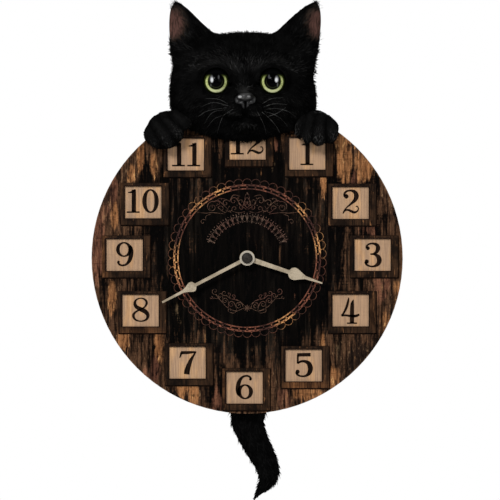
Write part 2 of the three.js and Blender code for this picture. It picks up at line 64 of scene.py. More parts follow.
# ---------------------------------------------------------------- procedural materials
def linear(colour):
    """A colour given in 0 to 255, as Blender's shaders want it."""
    parts = [c / 255 for c in colour]
    return tuple(c / 12.92 if c <= 0.04045 else ((c + 0.055) / 1.055) ** 2.4 for c in parts) + (1.0,)


def grey(level):
    return (level, level, level)


class Paint:
    """One procedural material. Its methods add nodes and give back the socket they end in."""

    def __init__(self, name, **sockets):
        self.material = bpy.data.materials.new(name)
        self.material.use_nodes = True
        self.tree = self.material.node_tree
        self.shader = next(n for n in self.tree.nodes if n.type == "BSDF_PRINCIPLED")
        self.place = self.tree.nodes.new("ShaderNodeTexCoord").outputs["Object"]
        for socket, value in sockets.items():
            self.put(self.shader.inputs[socket.replace("_", " ")], value)

    def put(self, socket, value):
        if isinstance(value, bpy.types.NodeSocket):
            self.tree.links.new(value, socket)
        else:
            socket.default_value = value

    def node(self, kind, inputs, **settings):
        made = self.tree.nodes.new(kind)
        for name, value in settings.items():
            setattr(made, name, value)
        for key, value in inputs.items():
            self.put(made.inputs[key], value)
        return made

    def maths(self, operation, a, b=0.0, c=0.0, clamp=False):
        inputs = {0: a, 1: b, 2: c}
        return self.node("ShaderNodeMath", inputs, operation=operation, use_clamp=clamp).outputs[0]

    def plus(self, a, b):
        return self.maths("ADD", a, b)

    def less(self, a, b):
        return self.maths("SUBTRACT", a, b)

    def times(self, a, b):
        return self.maths("MULTIPLY", a, b)

    def vector(self, operation, a, b=(0, 0, 0)):
        made = self.node("ShaderNodeVectorMath", {0: a, 1: b}, operation=operation)
        return made.outputs["Value" if operation == "LENGTH" else "Vector"]

    def axis(self, name, of=None):
        return self.node("ShaderNodeSeparateXYZ", {0: of or self.place}).outputs[name]

    def from_hands(self):
        """Distance from the hands' axis, in metres."""
        return self.vector("LENGTH", self.vector("MULTIPLY", self.place, (1, 0, 1)))

    def noise(self, stretch, detail=3.0, roughness=0.55, distortion=0.0, at=(0, 0, 0)):
        """Noise whose features are about one over the stretch, in metres, along X, Y and Z."""
        spread = self.vector("ADD", self.vector("MULTIPLY", self.place, stretch), at)
        inputs = {"Vector": spread, "Scale": 1.0, "Detail": detail, "Roughness": roughness}
        inputs["Distortion"] = distortion
        return self.node("ShaderNodeTexNoise", inputs).outputs[0]

    def cells(self, stretch, feature="F1"):
        spread = self.vector("MULTIPLY", self.place, stretch)
        made = self.node("ShaderNodeTexVoronoi", {"Vector": spread, "Scale": 1.0}, feature=feature)
        return made.outputs["Distance"]

    def step(self, value, low, high, bottom=0.0, top=1.0):
        """0 to 1, or bottom to top, as value goes from low to high, with soft ends."""
        inputs = {"Value": value, "From Min": low, "From Max": high, "To Min": bottom, "To Max": top}
        return self.node("ShaderNodeMapRange", inputs, interpolation_type="SMOOTHSTEP").outputs[0]

    def mix(self, a, b, share):
        made = self.node("ShaderNodeMix", {}, data_type="RGBA")
        for socket, value in ((made.inputs[6], a), (made.inputs[7], b)):
            self.put(socket, linear(value) if isinstance(value, tuple) else value)
        self.put(made.inputs[0], share)
        return made.outputs[2]

    def fade(self, a, b, value, low=0.35, high=0.65, bottom=0.0, top=1.0):
        """From colour a to colour b as value goes from low to high."""
        return self.mix(a, b, self.step(value, low, high, bottom, top))

    def coats(self, tone, *coats):
        """Coats of [colour, value, low, high, strength] over a tone, laid as value passes low to high."""
        for colour, value, low, high, strength in coats:
            tone = self.fade(tone, colour, value, low, high, 0.0, strength)
        return tone

    def spots(self, places, offset):
        """Soft ovals that fade to their edges: [x, z, half width, half height, strength], in mm."""
        total = 0.0
        for x, z, wide, tall, strength in places:
            away = self.vector("SUBTRACT", offset, (x * MM, 0, z * MM))
            away = self.vector("MULTIPLY", away, (1 / (wide * MM), 0, 1 / (tall * MM)))
            inner = self.maths("SUBTRACT", 1.0, self.vector("LENGTH", away), clamp=True)
            total = self.maths("MAXIMUM", total, self.times(inner, strength))
        return total

    def finished(self, colour, dull=None, low=0.0, high=0.0, height=None, depth=0.0):
        """The material, with a roughness from low to high as dull, itself about 0.3 to 0.7, rises,
        and a relief of that depth in metres."""
        self.put(self.shader.inputs["Base Color"], colour)
        if dull is not None:
            self.put(self.shader.inputs["Roughness"], self.step(dull, 0.3, 0.7, low, high))
        if height is not None:
            made = self.node("ShaderNodeBump", {"Height": height, "Distance": depth, "Strength": 1.0})
            self.put(self.shader.inputs["Normal"], made.outputs[0])
        return self.material


# Where the dial's dark stain is worn through: [x, z, half width, half height, strength].
WORN_ORANGE = [
    [-97, 92, 6, 24, 1.0], [-106, 77, 5, 14, 0.8], [-121, 38, 5, 22, 0.8], [-124, -35, 6, 26, 0.95],
    [-114, -75, 9, 20, 1.0], [-81, -79, 8, 28, 1.0], [-60, -121, 9, 16, 0.9], [-49, -124, 7, 18, 1.1],
    [69, -77, 4, 20, 0.8], [78, -110, 10, 18, 0.95], [55, -124, 22, 11, 1.0], [126, -62, 7, 18, 0.9],
    [136, -35, 5, 20, 0.8], [89, 86, 11, 30, 1.15], [108, 84, 13, 22, 1.15], [89, 108, 13, 11, 1.0],
    [70, 68, 6, 22, 0.9], [14, 80, 6, 16, 0.6], [-36, -72, 7, 20, 0.6], [-86, 84, 7, 22, 0.85],
]
WORN_RED = [
    [-137, 12, 9, 52, 0.9], [-84, -99, 7, 22, 0.8], [-28, -130, 9, 22, 0.8], [112, 25, 16, 16, 0.6],
    [123, -25, 12, 18, 0.7], [27, 104, 6, 16, 0.7], [-44, -10, 6, 30, 0.7], [44, -32, 5, 20, 0.6],
    [-125, 60, 12, 30, 0.6], [98, 70, 5, 14, 0.9], [-92, -112, 8, 16, 0.7], [34, -128, 10, 14, 0.6],
]
WORN_TAN = [
    [39, -72, 5, 22, 0.7], [83, -80, 7, 24, 0.35], [48, 43, 5, 40, 0.6], [-33, 84, 6, 18, 0.5],
    [-52, 30, 5, 34, 0.45], [-88, 62, 10, 20, 0.5], [-64, -46, 9, 24, 0.75], [24, 84, 8, 16, 0.75],
    [0, -88, 10, 14, 0.35],
]
# Where the stain is darkest towards the rim.
SOOTED = [
    [106, -93, 22, 24, 1.0], [136, -48, 8, 26, 0.9], [-130, 62, 10, 24, 0.8], [-64, -134, 15, 12, 0.9],
]
BOARD_BACK = (-0.0262, -0.0256)  # the depths between which the stain gives way to the bare back


def stained_wood():
    """Old vertical planks, stained nearly black and worn through to brown and orange towards the
    rim, over a plain fibreboard back."""
    p = Paint("stained_wood", Specular_IOR_Level=0.02)
    x, z = p.axis("X"), p.axis("Z")
    broad = p.noise((46, 20, 17), 3.0)
    streak = p.noise((190, 60, 15), 4.0, 0.6, 0.25)
    thin = p.noise((620, 90, 34), 5.0, 0.62, at=(3, 1, 7))
    ragged = p.noise((270, 60, 66), 6.0, 0.70, 0.9, at=(9, 4, 2))
    saw = p.noise((60, 60, 900), 3.0, 0.6, at=(2, 7, 7))
    splinter = p.noise((540, 60, 130), 5.0, 0.74, 0.5, at=(6, 2, 4))
    radius = p.from_hands()
    edge = p.step(radius, 0.045, 0.135)
    shaken = p.maths("MULTIPLY_ADD", ragged, 0.030, -0.015)
    offset = p.node("ShaderNodeCombineXYZ", {0: x, 1: 0.0, 2: p.plus(z, shaken)}).outputs[0]
    orange_spot, red_spot, tan_spot, sooty_spot = (
        p.spots(places, offset) for places in (WORN_ORANGE, WORN_RED, WORN_TAN, SOOTED)
    )
    grain = p.plus(p.times(streak, 0.36), p.times(thin, 0.16))
    grain = p.plus(p.plus(grain, p.times(ragged, 0.36)), p.times(saw, 0.12))
    wear = p.maths("MULTIPLY_ADD", edge, 0.165, p.maths("MULTIPLY_ADD", broad, 0.30, -0.225))
    worn = p.plus(grain, wear)
    haze = p.times(p.step(streak, 0.49, 0.66), p.step(broad, 0.38, 0.58))
    soot = p.fade((1, 1, 1), (7, 5, 4), streak, 0.36, 0.66)
    soot = p.mix(soot, (46, 39, 32), p.times(haze, p.step(edge, 0.0, 0.5, 0.16, 0.95)))
    brown = p.fade((26, 17, 12), (88, 62, 44), thin, 0.36, 0.62)
    red = p.fade((44, 28, 22), (132, 88, 66), thin, 0.36, 0.60)
    red = p.fade(red, (84, 52, 40), streak, 0.40, 0.60, 0.75, 0.0)
    orange = p.fade((80, 52, 33), (160, 110, 70), thin, 0.36, 0.58)
    orange = p.fade(orange, (110, 70, 42), streak, 0.36, 0.56, 0.7, 0.0)
    orange = p.fade(orange, (216, 164, 108), ragged, 0.56, 0.70, 0.0, 0.85)
    tone = p.coats(
        soot,
        [brown, worn, 0.50, 0.61, 0.95],
        [red, p.plus(p.times(red_spot, 0.42), p.less(worn, 0.12)), 0.54, 0.64, 0.85],
        [(98, 80, 58), p.plus(p.times(tan_spot, 0.36), p.less(worn, 0.10)), 0.55, 0.66, 0.8],
        [orange, p.plus(p.times(orange_spot, 0.40), p.less(worn, 0.12)), 0.56, 0.67, 0.95],
        [(22, 16, 13), p.plus(p.times(sooty_spot, 0.42), p.less(0.56, grain)), 0.10, 0.24, 0.85],
        [(6, 4, 3), saw, 0.55, 0.70, 0.5],
        [(9, 6, 5), splinter, 0.50, 0.38, 0.7],
    )
    pale = p.times(p.step(splinter, 0.58, 0.70), p.step(edge, 0.3, 0.9, 0.0, 0.4))
    tone = p.mix(tone, (186, 146, 108), p.times(pale, p.step(worn, 0.52, 0.60)))
    cracks = p.step(p.noise((300, 60, 7), 2.0, 0.5, 0.3, at=(5, 8, 1)), 0.30, 0.37, 1.0, 0.0)
    tone = p.mix(tone, (4, 3, 2), p.times(cracks, 0.85))
    rim = p.times(p.step(radius, 0.1411, 0.1422), p.step(ragged, 0.44, 0.6))
    tone = p.mix(tone, (128, 96, 72), p.times(rim, 0.45))
    board = p.fade((66, 48, 33), (104, 80, 56), thin, 0.34, 0.62)
    board = p.fade(board, (82, 60, 42), p.noise((900, 900, 900), 3.0), 0.40, 0.60)
    tone = p.fade(tone, board, p.axis("Y"), *BOARD_BACK)
    return p.finished(tone, grain, 0.55, 0.8, p.less(grain, cracks), 0.00035)


# Where the number frames are worn to a warmer brown.
WORN_FRAMES = [
    [53, -118, 28, 9, 0.85], [-132, 2, 7, 30, 0.8], [-96, -69, 28, 8, 0.35], [-24, -120, 7, 26, 0.45],
    [117, -48, 6, 26, 0.2], [-118, 76, 7, 22, 0.35],
]


def frame_wood():
    """Brown moulding of the number frames, sooty in places, with a few bright worn flecks."""
    p = Paint("frame_wood", Specular_IOR_Level=0.03)
    thin = p.noise((700, 90, 30), 5.0, 0.62, at=(3, 1, 7))
    broad = p.noise((60, 60, 34), 3.0, 0.6, 0.3, at=(2, 5, 1))
    fleck = p.noise((420, 90, 60), 4.0, 0.65, 0.6, at=(7, 3, 3))
    saw = p.noise((60, 60, 900), 3.0, 0.6, at=(2, 7, 7))
    tone = p.fade((22, 15, 10), (58, 40, 27), thin, 0.34, 0.62)
    tone = p.coats(tone, [(13, 9, 7), broad, 0.44, 0.60, 0.85])
    warm = p.times(p.spots(WORN_FRAMES, p.place), p.step(broad, 0.62, 0.40, 0.5, 1.6))
    tone = p.mix(tone, p.fade((60, 36, 22), (124, 82, 50), thin, 0.36, 0.60), warm)
    tone = p.coats(tone, [(146, 100, 64), fleck, 0.60, 0.74, 0.85], [(8, 5, 4), saw, 0.55, 0.70, 0.45])
    return p.finished(tone, thin, 0.55, 0.8, thin, 0.00018)


def light_wood():
    """Pale boards of the number tiles, with upright grain and warmer patches."""
    p = Paint("light_wood", Specular_IOR_Level=0.1)
    thin = p.noise((1100, 90, 40), 4.0, 0.6)
    broad = p.noise((120, 20, 26), 3.0, at=(4, 2, 6))
    pores = p.noise((2600, 90, 130), 2.0, 0.5, at=(1, 5, 3))
    saw = p.noise((60, 60, 1000), 3.0, 0.6, at=(2, 7, 7))
    warm = p.fade((170, 130, 92), (194, 154, 113), thin)
    tone = p.coats(
        p.fade((146, 119, 96), (170, 138, 109), thin),
        [warm, broad, 0.48, 0.66, 0.85],
        [(134, 104, 78), saw, 0.52, 0.70, 0.16],
        [(104, 78, 56), pores, 0.34, 0.25, 0.4],
    )
    return p.finished(tone, thin, 0.5, 0.7, thin, 0.00012)


def speckled(name, dark, light, stretch, low, high, relief, **sockets):
    """A finish whose colour runs between two tones in soft mottling, with roughness and relief to match."""
    p = Paint(name, **sockets)
    broad = p.noise(tuple(s * 0.22 for s in stretch), 3.0, at=(2, 2, 5))
    fine = p.noise(stretch, 4.0, 0.6)
    both = p.plus(p.times(broad, 0.5), p.times(fine, 0.5))
    return p.finished(p.fade(dark, light, both, 0.36, 0.64), both, low, high, fine, relief)


def cream_paint():
    """Cream enamel over stamped steel, a little darker and rubbed where it has been handled, and
    paler round the hub."""
    p = Paint("cream_paint", Specular_IOR_Level=0.4)
    peel = p.noise((900, 900, 900), 2.0)
    age = p.noise((70, 70, 70), 4.0, 0.6)
    scratch = p.noise((260, 260, 2600), 3.0, 0.6, 0.3, at=(4, 4, 1))
    tone = p.coats(
        p.fade((140, 127, 106), (166, 152, 130), age, 0.38, 0.6),
        [(170, 162, 148), p.from_hands(), 0.0076, 0.0066, 0.9],
        [(112, 98, 78), scratch, 0.33, 0.27, 0.7],
    )
    return p.finished(tone, age, 0.35, 0.55, peel, 0.00004)


# Where the lacework is still gilt: [x, z, half width, half height, strength].
GILT_PLACES = [
    [-64, -2, 14, 34, 1.0], [-44, 50, 14, 16, 0.7], [-26, 62, 8, 9, 1.0], [52, 46, 14, 18, 0.9],
    [67, 13, 11, 26, 1.0], [38, -58, 12, 12, 0.9],
]


def copper_print():
    """Old copper-coloured lacework: reddish brown, gilt in places, and rubbed away in others."""
    p = Paint("copper_lace", Specular_IOR_Level=0.15)
    broad = p.noise((26, 20, 22), 2.0, at=(6, 2, 3))
    upright = p.noise((190, 30, 24), 3.0, 0.6, at=(1, 1, 8))
    fine = p.noise((900, 900, 500), 3.0)
    gilt = p.fade((138, 88, 54), (212, 156, 98), fine, 0.35, 0.62)
    mottled = p.plus(p.times(broad, 0.4), p.times(upright, 0.4))
    glow = p.plus(p.times(p.spots(GILT_PLACES, p.place), 0.3), mottled)
    tone = p.coats(
        p.fade((56, 31, 25), (124, 74, 55), upright, 0.38, 0.60),
        [gilt, glow, 0.44, 0.60, 0.95],
        [(26, 16, 12), fine, 0.46, 0.32, 0.85],
        [(40, 25, 18), p.from_hands(), 0.0674, 0.0700, 0.55],
    )
    return p.finished(tone, fine, 0.4, 0.6, fine, 0.00008)


def faded_gilt(name, dark, light, blush):
    """The thin scrollwork's colour, nearly rubbed back to the stain, and pinker in places."""
    p = Paint(name, Specular_IOR_Level=0.05)
    fine = p.noise((420, 90, 420), 4.0, 0.65)
    broad = p.noise((60, 20, 60), 2.0, at=(3, 3, 3))
    tone = p.coats(p.fade(dark, light, fine, 0.34, 0.62), [blush, broad, 0.45, 0.6, 0.6])
    return p.finished(tone, fine, 0.5, 0.7, fine, 0.00005)


def ink():
    """Brush-black paint of the numbers, letting a trace of the board's grain through."""
    p = Paint("number_ink", Specular_IOR_Level=0.03)
    thin = p.noise((1100, 90, 60), 4.0, 0.6)
    tone = p.fade((12, 7, 4), (36, 23, 15), thin, 0.42, 0.66)
    return p.finished(tone, thin, 0.45, 0.65, thin, 0.00006)


def brushed(name, dark, light, roughness):
    """Bare metal with fine drawn lines and a few duller patches."""
    p = Paint(name, Metallic=1.0)
    lines = p.noise((300, 300, 2600), 3.0, 0.6)
    stain = p.noise((160, 160, 160), 4.0, 0.6, at=(3, 9, 2))
    tone = p.coats(p.fade(dark, light, lines), [dark, stain, 0.5, 0.66, 0.6])
    return p.finished(tone, stain, roughness, roughness + 0.22, lines, 0.00003)


def black_plastic():
    """Moulded black plastic with a fine spark-eroded texture and a few scuffs."""
    p = Paint("black_plastic", Specular_IOR_Level=0.45)
    fine = p.noise((2400, 2400, 2400), 2.0)
    broad = p.noise((90, 90, 90), 4.0, 0.6)
    scuff = p.noise((1500, 300, 160), 3.0, 0.6, 0.4, at=(7, 3, 1))
    tone = p.fade((20, 20, 21), (34, 34, 36), broad, 0.38, 0.62)
    tone = p.coats(tone, [(70, 70, 72), scuff, 0.66, 0.74, 0.6])
    return p.finished(tone, broad, 0.42, 0.6, fine, 0.00006)


def battery_wrap():
    """A dry cell's printed film: a dark body, a copper-coloured band at its positive end, and
    bare steel at both ends."""
    p = Paint("battery_wrap", Specular_IOR_Level=0.5)
    low, high = cad("battery_cell")
    x = p.axis("X")
    fine = p.noise((500, 900, 900), 3.0)
    film = p.fade((22, 26, 30), (40, 46, 52), fine)
    band = p.fade((150, 92, 50), (190, 128, 78), fine)
    steel = p.fade((150, 150, 150), (196, 196, 194), fine)
    edge = (high[0] - 15) * MM
    tone = p.fade(film, band, x, edge, edge + 0.0002)
    tone = p.fade(tone, steel, x, (high[0] - 1.2) * MM, (high[0] - 1.0) * MM)
    tone = p.fade(steel, tone, x, (low[0] + 0.6) * MM, (low[0] + 0.8) * MM)
    return p.finished(tone, fine, 0.25, 0.4, fine, 0.00003)


def circuit():
    """A small paper-based board with copper tracks under its lacquer."""
    p = Paint("circuit", Specular_IOR_Level=0.5)
    tracks = p.cells((330, 330, 330), "DISTANCE_TO_EDGE")
    fine = p.noise((1600, 1600, 1600), 3.0)
    tone = p.fade((150, 96, 52), p.fade((70, 52, 26), (98, 76, 40), fine), tracks, 0.05, 0.09)
    return p.finished(tone, fine, 0.3, 0.5, tracks, 0.00004)


def copper_wire():
    """Enamelled wire wound in close turns."""
    p = Paint("copper_wire", Metallic=0.9)
    turns = p.node("ShaderNodeTexWave", {"Vector": p.place, "Scale": 900.0, "Distortion": 0.4})
    turns = turns.outputs["Fac"]
    fine = p.noise((900, 900, 900), 3.0)
    tone = p.fade((116, 56, 28), (196, 112, 66), turns, 0.2, 0.8)
    return p.finished(tone, fine, 0.28, 0.45, turns, 0.00008)


def fur_paint():
    """Black fur. The tone attribute lightens some strands, at random and with painted sheen and highlights
    on the face and toes, and the skin attribute shows bare pink.
    """
    p = Paint("black_fur", Roughness=0.8, Specular_IOR_Level=0.02)
    tone = p.node("ShaderNodeAttribute", {}, attribute_name="tone").outputs["Fac"]
    skin = p.node("ShaderNodeAttribute", {}, attribute_name="skin").outputs["Fac"]
    patch = p.noise((110, 110, 110), 3.0)
    fine = p.noise((700, 700, 700), 3.0)
    streak = p.noise((900, 300, 160), 3.0, 0.6, at=(2, 2, 5))
    hair = p.mix(p.fade(grey(1), grey(5), patch, 0.36, 0.64), (120, 119, 118), tone)
    bare = p.fade((42, 34, 29), (76, 53, 47), skin, 0.45, 1.0)
    bare = p.coats(bare, [(26, 19, 16), streak, 0.46, 0.64, 0.7])
    return p.finished(p.fade(hair, bare, skin, 0.05, 0.55), fine, 0.55, 0.8, fine, 0.0002)


# Painted light on the nose: highlights along the top of the tip, and the lit bridge, wing edges and
# nostrils' rims: [x, z, half width, half height, strength], then the grey level.
NOSE_PAINTED_LIGHT = [
    [-1.6, 150.0, 9.2, 4.8, 1.1, 52], [-1.9, 145.3, 7.6, 1.7, 1.4, 62], [-9.9, 142.9, 1.7, 3.4, 1.3, 44],
    [7.0, 143.4, 1.7, 3.4, 1.3, 44], [-6.6, 141.0, 3.0, 1.3, 1.2, 36], [3.6, 141.0, 3.0, 1.3, 1.2, 36],
    [-3.4, 138.6, 1.3, 2.6, 1.2, 38], [0.6, 138.6, 1.3, 2.6, 1.2, 38], [-6.6, 146.3, 2.6, 1.7, 1.3, 150],
    [1.4, 146.6, 2.3, 1.4, 1.2, 104],
]


def nose_paint():
    """Damp black leather, with painted highlights along the top of the tip and painted light round the
    wings and nostrils.
    """
    p = Paint("nose_leather", Specular_IOR_Level=0.1, Coat_Weight=0.2, Coat_Roughness=0.3)
    pebble = p.cells((1400, 1400, 1400))
    fine = p.noise((1200, 900, 1200), 3.0)
    tone = p.fade((5, 5, 6), (17, 17, 18), fine)
    for *oval, level in NOSE_PAINTED_LIGHT:
        tone = p.fade(tone, grey(level), p.spots([oval], p.place), 0.15, 0.75)
    return p.finished(tone, fine, 0.4, 0.55, pebble, 0.0001)


def whisker_paint():
    """Smooth grey hair, lighter on some whiskers than on others."""
    p = Paint("whisker", Specular_IOR_Level=0.4)
    fine = p.noise((300, 300, 300), 2.0)
    light = p.fade(grey(34), (78, 78, 76), p.noise((60, 60, 60), 2.0, at=(5, 5, 2)), 0.42, 0.60)
    return p.finished(p.fade(grey(14), light, fine), fine, 0.4, 0.5)


def eye_paint(name, centre, glints):
    """A glass eye round its centre, in millimetres as x and z: a black pupil, a yellow-green ring
    with painted light at its bottom and painted shade of the upper lid at its top, a faint painted
    reflection round the pupil, a dark rim, and painted glints."""
    p = Paint(name, Roughness=0.3, Specular_IOR_Level=0.0, Coat_Weight=0.05, Coat_Roughness=0.03)
    away = p.vector("SUBTRACT", p.place, (centre[0] * MM, 0, (centre[1] - 1.8) * MM))
    flat = p.vector("MULTIPLY", away, (1 / MM, 0, 1 / MM))
    distance = p.vector("LENGTH", flat)
    pupil = p.vector("LENGTH", p.vector("SUBTRACT", flat, (0, 0, 0.4)))
    rise = p.axis("Z", of=flat)
    threads = p.noise((800, 200, 800), 4.0, 0.65)
    ring = p.fade((126, 138, 72), (196, 204, 138), threads, 0.30, 0.60)
    # Painted light paling the ring's bottom, and painted shade of the upper lid darkening its top.
    ring = p.fade((222, 228, 176), ring, rise, -9.5, -3.5)
    ring = p.fade(ring, (50, 58, 20), rise, 1.0, 6.5)
    ring = p.fade((40, 48, 16), ring, pupil, 7.3, 8.3)
    ring = p.fade(ring, (30, 37, 8), distance, 9.3, 10.0)
    # Painted shade under the upper lid: the ring's top goes black.
    ring = p.fade((3, 3, 4), ring, rise, 7.2, 4.6)
    tone = p.fade((1, 1, 2), ring, pupil, 7.0, 7.6)
    # A faint painted reflection: a thin olive ring round the pupil, on its lower half.
    inner = p.times(p.step(pupil, 5.2, 5.8), p.step(pupil, 6.4, 5.8))
    tone = p.mix(tone, (54, 60, 34), p.times(inner, p.step(rise, 3.0, -2.0, 0.0, 0.5)))
    tone = p.fade(tone, (3, 4, 2), distance, 10.9, 11.6)
    for dx, dz, wide, tall, light in glints:
        spot = p.vector("MULTIPLY", p.vector("SUBTRACT", flat, (dx, 0, dz)), (1 / wide, 0, 1 / tall))
        tone = p.coats(tone, [(206, 208, 210), p.vector("LENGTH", spot), 1.0, 0.35, light])
    return p.finished(tone)


FINISHES = {
    "stained_wood": stained_wood(),
    "light_wood": light_wood(),
    "black_fur": fur_paint(),
    "cream_paint": cream_paint(),
    "dark_metal": speckled("dark_metal", (24, 21, 19), (46, 42, 38), (500, 500, 500), 0.5, 0.65, 0.00004,
                           Metallic=0.4, Specular_IOR_Level=0.2),
    "black_plastic": black_plastic(),
    "zinc_steel": brushed("zinc_steel", (120, 122, 124), (176, 178, 180), 0.3),
    "brass": brushed("brass", (136, 104, 50), (196, 160, 88), 0.28),
    "rubber": speckled("rubber", grey(16), (34, 33, 32), (900, 900, 900), 0.7, 0.9, 0.0001),
    "battery_wrap": battery_wrap(),
    "circuit": circuit(),
    "copper_wire": copper_wire(),
    "acetal": speckled("acetal", (196, 192, 180), (226, 223, 214), (300, 300, 300), 0.35, 0.5, 0.00004),
    "magnet": speckled("magnet", (36, 36, 38), (66, 66, 70), (1200, 1200, 1200), 0.5, 0.75, 0.0001),
}
FUR = FINISHES["black_fur"], "black_fur"  # the finish of every furry piece, and the fur's slot name in model.glb
FRAME_WOOD = frame_wood()
for name, node in NODES.items():
    slot = node.material_slots[0].material.name.split(".")[0]
    finish = FRAME_WOOD if name.startswith("number_frame") else FINISHES.get(slot, FUR[0])
    node.material_slots[0].material = finish


# ---------------------------------------------------------------- mesh tools
def smooth_line(points, closed=False, per=5):
    """A smooth line through the points, with that many steps between each two."""
    points = np.array(points, float)
    if closed:
        padded = np.vstack([points[-1:], points, points[:2]])
    else:
        padded = np.vstack([2 * points[0] - points[1], points, 2 * points[-1] - points[-2]])
    found = []
    for i in range(len(padded) - 3):
        a, b, c, d = padded[i : i + 4]
        for t in np.arange(per) / per:
            curve = 2 * b + (c - a) * t + (2 * a - 5 * b + 4 * c - d) * t**2
            found.append(0.5 * (curve + (3 * b - a - 3 * c + d) * t**3))
    if not closed:
        found.append(padded[-2])
    return np.array(found)


def unit(rows):
    """The rows as directions, each of length one."""
    return rows / np.maximum(np.linalg.norm(rows, axis=1), 1e-9)[:, None]


def framed(points):
    """From x, forward, z to the frame's x, y, z."""
    return points * (1, -1, 1)


def tube(rows, sides):
    """The quads between rows of points that each go once round."""
    return [
        [i * sides + k, i * sides + (k + 1) % sides, (i + 1) * sides + (k + 1) % sides, (i + 1) * sides + k]
        for i in range(rows - 1)
        for k in range(sides)
    ]


def piece(name, body, points, faces, finish, slot, smooth=True, **attributes):
    """A mesh object from points in millimetres, riding on a body. Faces are lists of one width each."""
    mesh = bpy.data.meshes.new(name)
    faces = [f for group in faces for f in np.asarray(group).tolist()]
    mesh.from_pydata((np.asarray(points) * MM).tolist(), [], faces)
    for label, values in attributes.items():
        made = mesh.attributes.new(label, "FLOAT", "POINT")
        made.data.foreach_set("value", np.asarray(values, np.float32))
    mesh.polygons.foreach_set("use_smooth", [smooth] * len(faces))
    mesh.materials.append(finish)
    mesh.update()
    made = bpy.data.objects.new(name, mesh)
    bpy.context.scene.collection.objects.link(made)
    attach(made, body)
    return made


class Flat:
    """Thin raised artwork on a plane, gathered as closed strips and plates in x and z."""

    def __init__(self, rear, front):
        self.rear, self.front = -rear, -front
        self.points, self.quads, self.fans = [], [], []

    def add(self, rows):
        """Keep rows of points and give back the first one's number."""
        first = sum(len(p) for p in self.points)
        self.points.append(np.vstack(rows))
        return first

    def level(self, flat, depth):
        return np.stack([flat[:, 0], np.full(len(flat), depth), flat[:, 1]], 1)

    def strip(self, line, closed=False):
        """A band along a line of [x, z, half width]."""
        line = np.array(line, float)
        along = np.roll(line, -1, 0) - np.roll(line, 1, 0) if closed else np.gradient(line, axis=0)
        along = unit(along[:, :2])
        side = np.stack([-along[:, 1], along[:, 0]], 1) * line[:, 2:3]
        corners = ((1, self.front), (-1, self.front), (-1, self.rear), (1, self.rear))
        first = self.add([self.level(line[:, :2] + sign * side, depth) for sign, depth in corners])
        n = len(line)
        for i in range(n if closed else n - 1):
            j = (i + 1) % n
            for a, b in ((0, 1), (1, 2), (2, 3), (3, 0)):
                self.quads.append([first + c for c in (a * n + i, a * n + j, b * n + j, b * n + i)])
        if not closed:
            self.quads.append([first + r * n for r in (0, 1, 2, 3)])
            self.quads.append([first + r * n + n - 1 for r in (3, 2, 1, 0)])

    def plate(self, edge):
        """A flat plate inside a closed line of [x, z] that its middle can see all of."""
        edge = np.array(edge, float)
        n = len(edge)
        middle = self.level(edge.mean(0)[None, :], self.front)
        first = self.add([middle, self.level(edge, self.front), self.level(edge, self.rear)])
        for i in range(n):
            j = (i + 1) % n
            self.fans.append([first, first + 1 + i, first + 1 + j])
            self.quads.append([first + 1 + i, first + 1 + n + i, first + 1 + n + j, first + 1 + j])

    def dot(self, x, z, radius, tall=None):
        turn = np.linspace(0, math.tau, 17)[:-1]
        self.plate(np.stack([x + radius * np.cos(turn), z + (tall or radius) * np.sin(turn)], 1))

    def made(self, name, finish, slot):
        """The piece itself. All such artwork is on the dial, which stands still."""
        faces = [self.quads, self.fans]
        piece(name, "clock_body", np.vstack(self.points), faces, finish, slot, smooth=False)


# ---------------------------------------------------------------- numbers
# Each figure is drawn in strokes of [x, z, half width], 21 mm tall, round its own middle. A dot is
# [x, z, radius], a ring is what oval takes, and a plate is a closed line of corners.
def oval(x, z, wide, tall, thick, thin):
    """A ring that is thick at its sides and thin at its top and bottom."""
    turn = np.linspace(0, math.tau, 33)[:-1]
    half = thin + (thick - thin) * np.abs(np.cos(turn)) ** 1.5
    return np.stack([x + (wide - half) * np.cos(turn), z + (tall - half) * np.sin(turn), half], 1)


